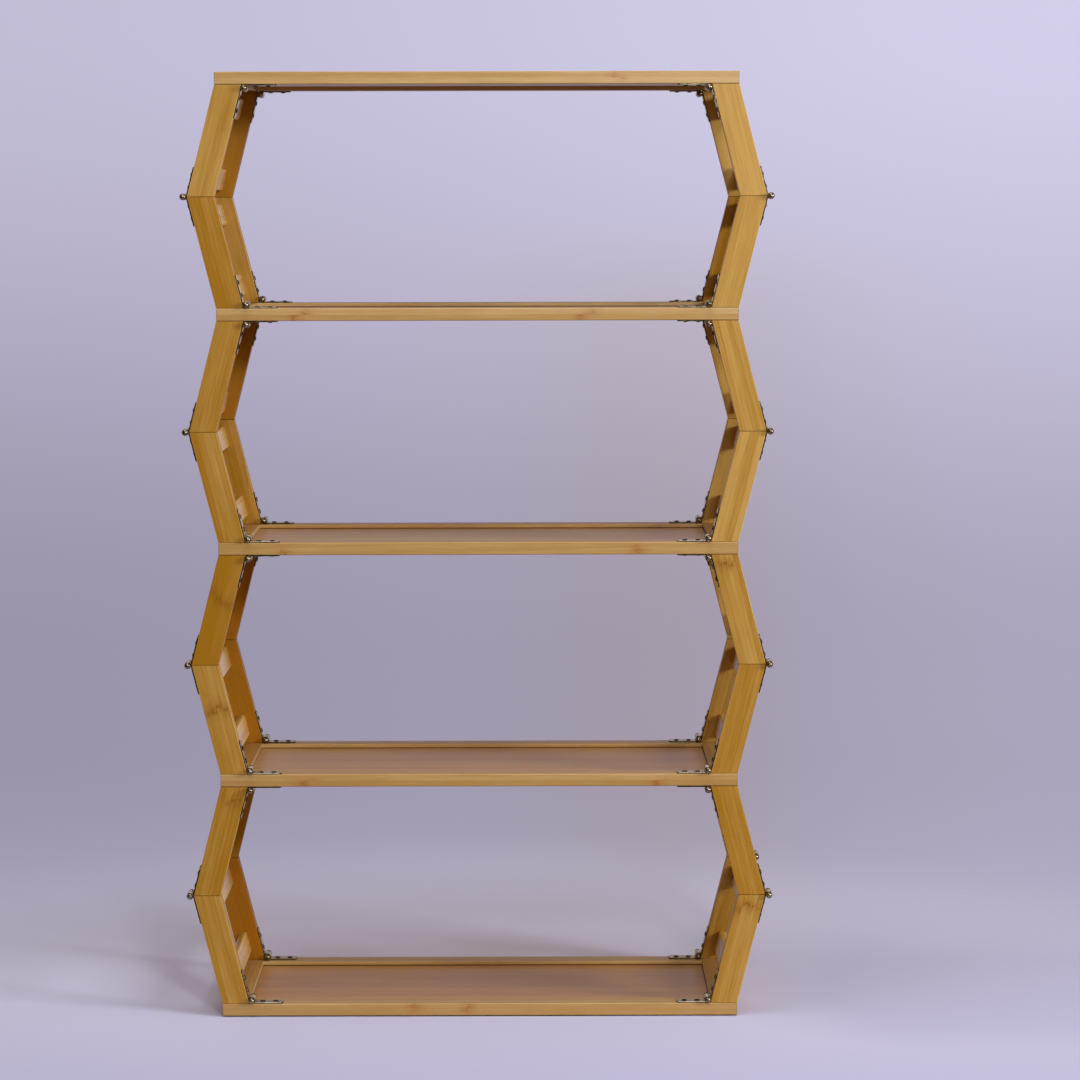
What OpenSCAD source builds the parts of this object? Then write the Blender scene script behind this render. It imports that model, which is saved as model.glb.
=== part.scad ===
// Folding bookstand rack: framed shelves carried by side frames that are hinged at
// their middle and at both shelves, so that each tier folds flat.
// X runs along the shelves, Y from the front to the back, Z up from the floor.
// The origin is on the floor, under the middle of the rack.

/* [Shelves] */
// Length of a shelf, side to side
shelf_w = 500; // [400:5:700]
// Depth of a shelf, front to back
shelf_d = 230; // [160:5:320]
// Thickness of the shelf frame
shelf_t = 12; // [11.5:0.5:18]
// Width of the rails round the board
rail_w = 25; // [22:1:40]
// Thickness of the board inside the rails, and of the tongues that hold it
board_t = 4; // [3:0.5:6]
// Depth of the groove round the inside of the rails
groove_depth = 6; // [4:1:8]
// Solid wood left between a groove's end and the end of its rail
groove_stop = 6; // [4:1:8]

/* [Tiers] */
// Number of tiers, one fewer than the shelves
tiers = 4; // [1:1:4]
// Clear height from one shelf to the next
tier_clear = 213; // [180:1:260]
// How far the middle of a side stands out past the shelf ends
bulge = 27; // [18:1:40]

/* [Side frames] */
// Width of a stile, square to its length
stile_w = 25; // [21:1:32]
// Depth of a stile, front to back
stile_d = 15; // [13:1:22]
// Width of a cross slat
slat_w = 22; // [16:1:28]
// Thickness of a cross slat
slat_t = 8; // [6:1:9]
// Gap between a slat and the end of its frame
slat_end_gap = 7.5; // [6:0.5:12]
// Depth of the slats in from the stiles' outer faces
slat_set_in = 6; // [5:0.5:8]
// Length of the tenon on each end of a slat
tenon_len = 8; // [5:0.5:10]
// Step from a slat's faces down to its tenon
tenon_step = 1.5; // [1:0.25:2]

/* [Hinges] */
// Length of a leaf, from the pin's axis to its tip
leaf_len = 30; // [26:1:36]
// How much narrower a leaf is than its stile
leaf_margin = 1; // [0.5:0.5:3]
// Thickness of a leaf
leaf_t = 1.2; // [0.8:0.1:1.6]
// Radius of a leaf's tip corners
leaf_corner = 2.5; // [1:0.5:4]
// Diameter of the knuckles and of the balls on the pin
knuckle_d = 6.4; // [5.6:0.2:8]
// Diameter of the pin
pin_d = 2.8; // [2:0.2:3.4]
// Length of the thin neck between a ball and the knuckles
neck_len = 0.4; // [0.2:0.1:1]

/* [Screws] */
// Distance from a leaf's tip to the outer screw
screw_tip_gap = 7.5; // [5:0.5:8.5]
// Distance between the two screws of a leaf
screw_pitch = 12.5; // [9:0.5:13]
// Diameter of a screw's head
head_d = 5; // [4:0.25:6]
// Height of a screw's head above the leaf
head_h = 1; // [0.5:0.1:1.2]
// Diameter of a screw's shank
shank_d = 2.4; // [1.6:0.2:3]
// Depth that a screw reaches into the wood
screw_grip = 5; // [3:0.5:5.5]

/* [Fits] */
// Play round tenons, tongues, the board and the screws
wood_gap = 0.1; // [0.05:0.05:0.2]
// Radial play of a pin in its knuckles
pin_gap = 0.05; // [0.02:0.01:0.1]
// Room round a knuckle, to the wood and to the other leaf
knuckle_gap = 0.3; // [0.25:0.05:0.5]
// Play between the knuckles along the pin
side_gap = 0.2; // [0.1:0.05:0.4]
// Width of the small flats on the edges of the wood
arris = 0.8; // [0.4:0.1:1.5]

/* [Hidden] */
$fn = 48;
// Overshoot of the shapes that cut right through a face
cut = 1;

// The sides
half_clear = tier_clear / 2;
lean = atan(bulge / half_clear);              // angle of the stiles from upright
pitch = shelf_t + tier_clear;                 // from one shelf to the next
mid_z = shelf_t + half_clear;                 // height of the middle joint above its shelf
inner_x = -shelf_w / 2 + stile_w / cos(lean); // inner corner where a left stile meets the shelf
stile_y = (shelf_d - stile_d) / 2;            // middle of the back stile
stile_len = half_clear / cos(lean);
slat_len = shelf_d - 2 * (stile_d + wood_gap); // between the stiles
// Middle of a slat, in from the stile's inner face, and what the slanted end adds there
slat_n = stile_w - slat_set_in - slat_t / 2;
slat_lift = slat_n * tan(lean);
slat_mids = [slat_lift + slat_end_gap + slat_w / 2,
             slat_lift + stile_len - slat_end_gap - slat_w / 2];

// The shelf frame
board_w = shelf_w - 2 * rail_w;
board_d = shelf_d - 2 * rail_w;
tongue_from = board_w / 2 + groove_depth;     // the tongue starts behind the end rail's groove
tongue_to = shelf_w / 2 - groove_stop;

// The hinges: a pin's axis stands clear of both wood faces by the same distance
pin_rise = knuckle_d / 2 + knuckle_gap;
pin_x = inner_x + pin_rise * (1 - sin(lean)) / cos(lean);
pin_z = shelf_t + pin_rise;
mid_x = -shelf_w / 2 - bulge - pin_rise / cos(lean);
leaf_w = stile_d - leaf_margin;
leaf_root = pin_rise * tan(lean) + knuckle_gap; // where the plate starts, clear of the mitre
knuckle_len = (leaf_w - 2 * side_gap) / 3;
knuckle_pitch = knuckle_len + side_gap;
ball_y = leaf_w / 2 + neck_len + knuckle_d / 2;
neck_d = (pin_d + knuckle_d) / 2;
screw_xs = [leaf_len - screw_tip_gap - screw_pitch, leaf_len - screw_tip_gap];

SIDES = ["left", "right"];
HALVES = ["lower", "upper"];
SHELF_PIECES = ["long_rails", "end_rails", "board", "hinges", "screws"];
SIDE_PIECES = ["frame", "hinges"];

function shelf_node(k, piece) = str("shelf_", k, "_", piece);
function side_node(k, side, half, piece) = str("tier_", k, "_", side, "_", half, "_", piece);

// ---------- Wood shapes ----------

// Rectangle about the origin with its corners cut off
module arris_rect(w, h) {
    a = arris;
    polygon([[-w/2 + a, -h/2], [w/2 - a, -h/2], [w/2, -h/2 + a], [w/2, h/2 - a],
             [w/2 - a, h/2], [-w/2 + a, h/2], [-w/2, h/2 - a], [-w/2, -h/2 + a]]);
}

// Block about the origin with a small flat on every edge
module arris_box(x, y, z) {
    intersection() {
        linear_extrude(z, center = true) arris_rect(x, y);
        rotate([90, 0, 0]) linear_extrude(y, center = true) arris_rect(x, z);
        rotate([90, 0, 90]) linear_extrude(x, center = true) arris_rect(y, z);
    }
}

// Plain block about the origin
module block(x, y, z) {
    cube([x, y, z], center = true);
}

// ---------- Where things go ----------

// Both ways along an axis: as drawn, and mirrored
module both(axis) {
    children();
    mirror(axis) children();
}

// From the left lower side frame to any of the four of tier k
module at_side(k, side, half) {
    up = half == "upper";
    translate([0, 0, (k - 1) * pitch + (up ? 2 * mid_z : 0)])
        mirror([side == "right" ? 1 : 0, 0, 0])
            mirror([0, 0, up ? 1 : 0])
                children();
}

// Frame with its origin in a left stile's inner lower corner, and Z along the stile
module along_stile() {
    translate([inner_x, 0, shelf_t]) rotate([0, -lean, 0]) children();
}

// Leaf frames: the pin's axis is Y, the leaf runs along +X and its wood is below
module on_shelf() {
    both([0, 1, 0]) translate([pin_x, stile_y, pin_z]) children();
}

module on_inner_face() {
    both([0, 1, 0]) translate([pin_x, stile_y, pin_z])
        rotate([0, -90 - lean, 0]) mirror([0, 0, 1]) children();
}

module on_outer_face() {
    both([0, 1, 0]) translate([mid_x, stile_y, mid_z])
        rotate([0, 90 - lean, 0]) mirror([0, 0, 1]) children();
}

// Every leaf of shelf k: on top where a tier stands on it, below where one carries it
module at_shelf_leaves(k) {
    if (k <= tiers) both([1, 0, 0]) on_shelf() children();
    if (k > 1) translate([0, 0, shelf_t]) mirror([0, 0, 1]) both([1, 0, 0]) on_shelf() children();
}

module at_shelf(k) {
    translate([0, 0, (k - 1) * pitch]) children();
}

// ---------- Hinge pieces, in the leaf frame ----------

module leaf_plate() {
    reach = leaf_len - leaf_root;
    translate([leaf_root, 0, -pin_rise]) linear_extrude(leaf_t) {
        translate([0, -leaf_w / 2]) square([reach - leaf_corner, leaf_w]);
        translate([0, leaf_corner - leaf_w / 2]) square([reach, leaf_w - 2 * leaf_corner]);
        both([0, 1, 0]) translate([reach - leaf_corner, leaf_w / 2 - leaf_corner])
            circle(leaf_corner);
    }
}

// Cylinders on the pin's axis at the given places along it
module knuckles(places, d, len) {
    for (y = places) translate([0, y, 0]) rotate([90, 0, 0]) cylinder(d = d, h = len, center = true);
}

// A leaf with its two outer knuckles, or with the middle one
module leaf(outer) {
    ends = [-knuckle_pitch, knuckle_pitch];
    own = outer ? ends : [0];
    other = outer ? [0] : ends;
    color("darkgoldenrod") difference() {
        union() {
            leaf_plate();
            knuckles(own, knuckle_d, knuckle_len);
        }
        knuckles(other, knuckle_d + 2 * knuckle_gap, knuckle_len + 2 * side_gap);
        rotate([90, 0, 0]) cylinder(d = pin_d + 2 * pin_gap, h = leaf_w + cut, center = true);
        for (x = screw_xs) translate([x, 0, -pin_rise])
            cylinder(r1 = shank_d / 2 + wood_gap, r2 = head_d / 2 + wood_gap, h = leaf_t);
    }
}

// Pin with a ball on each end
module pin() {
    color("goldenrod") {
        rotate([90, 0, 0]) cylinder(d = pin_d, h = 2 * ball_y, center = true);
        both([0, 1, 0]) {
            translate([0, leaf_w / 2 + pin_gap, 0]) rotate([-90, 0, 0])
                cylinder(d = neck_d, h = neck_len + knuckle_d / 4);
            translate([0, ball_y, 0]) sphere(d = knuckle_d);
        }
    }
}

// Oval head screw through the leaf and into the wood
module screw() {
    head_r = head_d / 2;
    shank_r = shank_d / 2;
    tip = -leaf_t - screw_grip;
    color("gold") rotate_extrude() polygon([
        [0, tip], [shank_r, tip + shank_d], [shank_r, -leaf_t], [head_r, 0],
        [0.86 * head_r, head_h / 2], [head_r / 2, 0.87 * head_h], [0, head_h]]);
}

module leaf_screws() {
    for (x = screw_xs) translate([x, 0, leaf_t - pin_rise]) screw();
}

// Pilot holes for the screws of one leaf
module pilot_holes() {
    for (x = screw_xs) translate([x, 0, -pin_rise - screw_grip - wood_gap])
        cylinder(d = shank_d + 2 * wood_gap, h = screw_grip + wood_gap + cut);
}

// ---------- Shelves ----------

module long_rails(k) {
    groove_t = board_t + 2 * wood_gap;
    color("burlywood") at_shelf(k) difference() {
        both([0, 1, 0]) translate([0, (shelf_d - rail_w) / 2, shelf_t / 2])
            arris_box(shelf_w, rail_w, shelf_t);
        translate([0, 0, shelf_t / 2])
            block(2 * tongue_to, board_d + 2 * groove_depth, groove_t);
        at_shelf_leaves(k) pilot_holes();
    }
}

module end_rails(k) {
    groove_t = board_t + 2 * wood_gap;
    tongue_w = tongue_to - wood_gap - tongue_from;
    tongue_d = board_d + 2 * (groove_depth - wood_gap);
    color("tan") at_shelf(k) translate([0, 0, shelf_t / 2]) both([1, 0, 0]) {
        difference() {
            translate([(shelf_w - rail_w) / 2, 0, 0]) intersection() {
                arris_box(rail_w, board_d + 2 * arris, shelf_t);
                block(rail_w, board_d, shelf_t);
            }
            block(board_w + 2 * groove_depth, board_d + cut, groove_t);
        }
        translate([tongue_from + tongue_w / 2, 0, 0]) block(tongue_w, tongue_d, board_t);
    }
}

module board(k) {
    reach = 2 * (groove_depth - wood_gap);
    color("wheat") at_shelf(k) translate([0, 0, shelf_t / 2])
        block(board_w + reach, board_d + reach, board_t);
}

module shelf_hinges(k) {
    at_shelf(k) at_shelf_leaves(k) {
        leaf(true);
        pin();
    }
}

module shelf_screws(k) {
    at_shelf(k) at_shelf_leaves(k) leaf_screws();
}

// ---------- Side frames: the left lower one, placed by at_side ----------

module stile() {
    color("peru") difference() {
        intersection() {
            along_stile() translate([-stile_w / 2, stile_y, stile_len / 2])
                linear_extrude(stile_len + 2 * stile_w, center = true) arris_rect(stile_w, stile_d);
            translate([-shelf_w / 2, 0, shelf_t + half_clear / 2])
                block(shelf_w, shelf_d, half_clear);
        }
        slats(wood_gap);
        on_inner_face() pilot_holes();
        on_outer_face() pilot_holes();
    }
}

// The cross slats with their tenons. With play, only the tenons, grown by it as mortises
module slats(play = 0) {
    tenon_w = slat_w - 2 * tenon_step + 2 * play;
    tenon_t = slat_t - 2 * tenon_step + 2 * play;
    color("sandybrown") along_stile() for (z = slat_mids) translate([-slat_n, 0, z]) {
        if (play == 0) block(slat_t, slat_len, slat_w);
        block(tenon_t, slat_len + 2 * tenon_len + 2 * play, tenon_w);
    }
}

module side_frame(k, side, half) {
    at_side(k, side, half) {
        both([0, 1, 0]) stile();
        slats();
    }
}

// The leaves on one frame: the inner ones take the shelf's pins, and at the middle
// joint the lower frame holds the pins
module side_hinges(k, side, half) {
    lower = half == "lower";
    at_side(k, side, half) {
        on_inner_face() {
            leaf(false);
            leaf_screws();
        }
        on_outer_face() {
            leaf(lower);
            leaf_screws();
            if (lower) pin();
        }
    }
}

// ---------- The rack ----------

for (k = [1 : tiers + 1]) {
    long_rails(k);
    end_rails(k);
    board(k);
    shelf_hinges(k);
    shelf_screws(k);
}
for (k = [1 : tiers], side = SIDES, half = HALVES) {
    side_frame(k, side, half);
    side_hinges(k, side, half);
}
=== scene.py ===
"""Looks of the folding bookstand rack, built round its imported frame.

Five bamboo shelves stand on hinged side frames. Each sub-assembly is a class that holds its sizes
in millimetres and makes one mesh for each node that it dresses. Lengths turn into metres when a
mesh is made.
"""

import logging
import math
import random
from collections.abc import Iterable, Iterator, Sequence
from dataclasses import dataclass, field
from enum import Enum

import bmesh
import bpy
from mathutils import Matrix, Vector
from mathutils.geometry import tessellate_polygon


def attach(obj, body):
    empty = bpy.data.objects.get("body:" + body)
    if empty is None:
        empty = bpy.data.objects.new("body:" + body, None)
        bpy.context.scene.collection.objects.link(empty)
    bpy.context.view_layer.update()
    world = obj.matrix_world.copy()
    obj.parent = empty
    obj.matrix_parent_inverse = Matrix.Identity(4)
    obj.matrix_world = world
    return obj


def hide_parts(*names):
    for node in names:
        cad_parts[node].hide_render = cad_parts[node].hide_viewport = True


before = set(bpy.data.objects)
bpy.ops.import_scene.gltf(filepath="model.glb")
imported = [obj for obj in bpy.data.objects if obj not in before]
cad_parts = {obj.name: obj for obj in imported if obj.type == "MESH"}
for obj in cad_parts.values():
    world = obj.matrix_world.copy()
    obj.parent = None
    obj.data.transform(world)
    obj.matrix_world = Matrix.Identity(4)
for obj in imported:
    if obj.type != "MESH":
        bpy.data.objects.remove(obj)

LOG = logging.getLogger("bookstand")
MM = 0.001
SHARP = math.radians(38)
X_AXIS, Y_AXIS, Z_AXIS = Vector((1, 0, 0)), Vector((0, 1, 0)), Vector((0, 0, 1))

Colour = tuple[float, float, float, float]
Link = bpy.types.NodeSocket
Point = tuple[float, float]
Place = tuple[float, float, float]
Ring = list[bmesh.types.BMVert]


class Side(Enum):
    """The two sides of a tier, and the factor that mirrors the left one."""

    LEFT = 1
    RIGHT = -1


class Half(Enum):
    """The two frames of a side, and the factor that mirrors the lower one."""

    LOWER = 1
    UPPER = -1


class Knuckles(Enum):
    """Which knuckles a leaf carries, as places along the pin in knuckle pitches."""

    OUTER = (-1, 1)
    MIDDLE = (0,)


@dataclass(frozen=True)
class Ramp:
    """A change from one result to another between two values, which holds beyond them."""

    low: float
    high: float
    to_low: float = 0.0
    to_high: float = 1.0
    smooth: bool = False


@dataclass(frozen=True)
class Noise:
    """A noise: its scale in X, Y and Z, its octaves and the weight of the finer ones."""

    scale: Place
    octaves: float
    roughness: float = 0.5


def srgb(red: int, green: int, blue: int) -> Colour:
    """Turns a colour of 8-bit steps into a linear one.

    Args:
        red: Red step, 0 to 255.
        green: Green step, 0 to 255.
        blue: Blue step, 0 to 255.

    Returns:
        The linear colour with full alpha.
    """
    steps = (value / 255 for value in (red, green, blue))
    linear = [s / 12.92 if s <= 0.04045 else ((s + 0.055) / 1.055) ** 2.4 for s in steps]
    return (linear[0], linear[1], linear[2], 1.0)


class Graph:
    """Adds nodes to a shader tree or a geometry tree."""

    def __init__(self, tree: bpy.types.NodeTree) -> None:
        """Starts with an empty tree."""
        self.tree = tree
        tree.nodes.clear()

    def add(self, kind: str, inputs: dict[int | str, object] | None = None,
            **settings: object) -> bpy.types.Node:
        """Adds one node.

        Args:
            kind: The node's type.
            inputs: A value or a link for each named or numbered input.
            **settings: Values of the node's own properties.

        Returns:
            The node.
        """
        node = self.tree.nodes.new(kind)
        for key, value in settings.items():
            setattr(node, key, value)
        for key, value in (inputs or {}).items():
            if isinstance(value, bpy.types.NodeSocket):
                self.tree.links.new(value, node.inputs[key])
            else:
                node.inputs[key].default_value = value
        return node

    def math(self, operation: str, *values: float | Link, clamp: bool = False) -> Link:
        """Adds a Math node, whose result may be kept between 0 and 1."""
        return self.add("ShaderNodeMath", dict(enumerate(values)), operation=operation,
                        use_clamp=clamp).outputs[0]

    def times(self, first: float | Link, second: float | Link) -> Link:
        """Multiplies two values."""
        return self.math("MULTIPLY", first, second)

    def vector(self, operation: str, *values: Sequence[float] | Link) -> Link:
        """Adds a Vector Math node and gives its vector."""
        return self.add("ShaderNodeVectorMath", dict(enumerate(values)),
                        operation=operation).outputs[0]

    def length(self, vector: Link) -> Link:
        """Gives the length of a vector."""
        return self.add("ShaderNodeVectorMath", {0: vector}, operation="LENGTH").outputs[1]

    def parts(self, vector: Link) -> Sequence[Link]:
        """Splits a vector into X, Y and Z."""
        return self.add("ShaderNodeSeparateXYZ", {0: vector}).outputs

    def combine(self, x: float | Link = 0.0, y: float | Link = 0.0,
                z: float | Link = 0.0) -> Link:
        """Makes a vector of X, Y and Z."""
        return self.add("ShaderNodeCombineXYZ", {0: x, 1: y, 2: z}).outputs[0]

    def place(self) -> Link:
        """Gives the point's place in its object, in metres."""
        return self.add("ShaderNodeTexCoord").outputs["Object"]

    def attribute(self, name: str, output: str = "Fac") -> Link:
        """Reads an attribute of the mesh."""
        return self.add("ShaderNodeAttribute", attribute_name=name).outputs[output]

    def span(self, value: Link, ramp: Ramp) -> Link:
        """Maps a value by a ramp.

        Args:
            value: The value.
            ramp: How it maps.

        Returns:
            The result.
        """
        ends = (value, ramp.low, ramp.high, ramp.to_low, ramp.to_high)
        kind = "SMOOTHSTEP" if ramp.smooth else "LINEAR"
        return self.add("ShaderNodeMapRange", dict(enumerate(ends)),
                        interpolation_type=kind).outputs[0]

    def mix(self, share: float | Link, first: Colour | Link, second: Colour | Link) -> Link:
        """Mixes two colours by the share of the second."""
        return self.add("ShaderNodeMix", {0: share, 6: first, 7: second},
                        data_type="RGBA").outputs[2]

    def noise(self, place: Link, noise: Noise) -> Link:
        """Reads a noise at a place, and gives a value around one half."""
        scaled = self.vector("MULTIPLY", place, noise.scale)
        return self.add("ShaderNodeTexNoise", {
            "Vector": scaled, "Scale": 1.0, "Detail": noise.octaves,
            "Roughness": noise.roughness}).outputs[0]

    def bump(self, height: Link, strength: float, distance: float) -> Link:
        """Gives the normal of a relief as deep as the distance, in metres."""
        return self.add("ShaderNodeBump", {"Strength": strength, "Distance": distance,
                                           "Height": height}).outputs[0]

    def bell(self, distance: Link, width: float | Link) -> Link:
        """Gives 1 at no distance, a third at the width, and next to 0 far off."""
        ratio = self.math("DIVIDE", distance, width)
        return self.math("EXPONENT", self.times(self.times(ratio, ratio), -1.0))


def new_material(name: str) -> tuple[bpy.types.Material, Graph]:
    """Starts a material.

    Args:
        name: Its name.

    Returns:
        The material, and its empty tree.
    """
    made = bpy.data.materials.new(name)
    made.use_nodes = True
    return made, Graph(made.node_tree)


def linked(name: str, data: bpy.types.ID) -> bpy.types.Object:
    """Makes an object and links it to the scene.

    Args:
        name: Its name.
        data: Its mesh, lamp or camera.

    Returns:
        The object.
    """
    made = bpy.data.objects.new(name, data)
    bpy.context.scene.collection.objects.link(made)
    return made


@dataclass
class Layout:
    """Sizes that place the shelves, the side frames and the pins, in millimetres."""

    width: float = 500.0
    depth: float = 230.0
    shelf: float = 12.0
    rail: float = 25.0
    clear: float = 213.0
    bulge: float = 27.0
    stile_width: float = 25.0
    stile_depth: float = 15.0
    pin_rise: float = 3.5
    tiers: int = 4

    @property
    def lean(self) -> float:
        """Angle of the stiles from upright."""
        return math.atan(self.bulge / (self.clear / 2))

    @property
    def pitch(self) -> float:
        """Height from one shelf to the next."""
        return self.shelf + self.clear

    @property
    def middle(self) -> float:
        """Height of the middle joint above its shelf's underside."""
        return self.shelf + self.clear / 2

    @property
    def inner(self) -> float:
        """X of the inner corner where a left stile meets the shelf."""
        return -self.width / 2 + self.stile_width / math.cos(self.lean)

    @property
    def well(self) -> Point:
        """Half sizes of the well that a shelf's rails leave, in X and Y."""
        return self.width / 2 - self.rail, self.depth / 2 - self.rail

    @property
    def stile_y(self) -> float:
        """Distance of the stiles' middle from the rack's."""
        return (self.depth - self.stile_depth) / 2

    @property
    def up_stile(self) -> Vector:
        """Unit vector up a left lower stile."""
        return Vector((-math.sin(self.lean), 0, math.cos(self.lean)))

    @property
    def off_stile(self) -> Vector:
        """Unit vector square to a left lower stile, outward."""
        return Vector((-math.cos(self.lean), 0, -math.sin(self.lean)))

    @property
    def foot_pin(self) -> Vector:
        """Middle of the back left pin on the bottom shelf."""
        sine, cosine = math.sin(self.lean), math.cos(self.lean)
        return Vector((self.inner + self.pin_rise * (1 - sine) / cosine, self.stile_y,
                       self.shelf + self.pin_rise))

    @property
    def middle_pin(self) -> Vector:
        """Middle of the back left pin at the bottom tier's middle."""
        return Vector((-self.width / 2 - self.bulge - self.pin_rise / math.cos(self.lean),
                       self.stile_y, self.middle))

    def shelf_place(self, level: int) -> Matrix:
        """Gives the matrix from the bottom shelf to another, counted from 1."""
        return Matrix.Translation((0, 0, (level - 1) * self.pitch))

    def frame_place(self, tier: int, side: Side, half: Half) -> Matrix:
        """Gives the matrix from the left lower side frame to another.

        Args:
            tier: The tier, 1 at the bottom.
            side: Which side.
            half: Which half of the side.

        Returns:
            The matrix.
        """
        lift = self.middle * (1 - half.value)
        return (self.shelf_place(tier) @ Matrix.Translation((0, 0, lift))
                @ Matrix.Diagonal((side.value, 1, half.value, 1)))

    def shelf_leaves(self, level: int) -> list[Matrix]:
        """Gives the place of every leaf on a shelf, in leaf frames.

        Args:
            level: The shelf, 1 at the bottom.

        Returns:
            Four places above it, four below, or both.
        """
        above = Matrix.Identity(4)
        below = Matrix.Translation((0, 0, self.shelf)) @ Matrix.Diagonal((1, 1, -1, 1))
        faces = ([above] if level <= self.tiers else []) + ([below] if level > 1 else [])
        return [self.shelf_place(level) @ face @ Matrix.Diagonal((x, y, 1, 1))
                @ Matrix.Translation(self.foot_pin)
                for face in faces for x in (1, -1) for y in (1, -1)]

    def frame_leaves(self) -> tuple[list[Matrix], list[Matrix]]:
        """Gives the places of the leaves on the left lower side frame, in leaf frames.

        Returns:
            The places on the inner faces and those on the outer faces.
        """
        flip = Matrix.Diagonal((1, 1, -1, 1))
        inner, outer = ([Matrix.Diagonal((1, y, 1, 1)) @ Matrix.Translation(pin)
                         @ Matrix.Rotation(turn - self.lean, 4, "Y") @ flip for y in (1, -1)]
                        for pin, turn in ((self.foot_pin, -math.pi / 2),
                                          (self.middle_pin, math.pi / 2)))
        return inner, outer


LAYOUT = Layout()


NOISE_RANGE = (0.3, 0.7)
STREAKS = Noise((0.006, 0.34, 0.34), 3.0)
FIBRES = Noise((0.04, 1.3, 1.3), 4.0, 0.62)
CLOUDS = Noise((0.011, 0.05, 0.05), 2.0)
BUNDLES = Noise((0.02, 4.2, 4.2), 2.0)
SPOTS = Noise((0.3, 0.62, 0.62), 2.0)

HONEY_SHARES: dict[Noise, Ramp] = {
    STREAKS: Ramp(*NOISE_RANGE, 0.0, 0.36),
    FIBRES: Ramp(*NOISE_RANGE, -0.16, 0.28),
    CLOUDS: Ramp(*NOISE_RANGE, -0.12, 0.2),
    BUNDLES: Ramp(0.52, 0.68, -0.06, 0.36),
}


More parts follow.
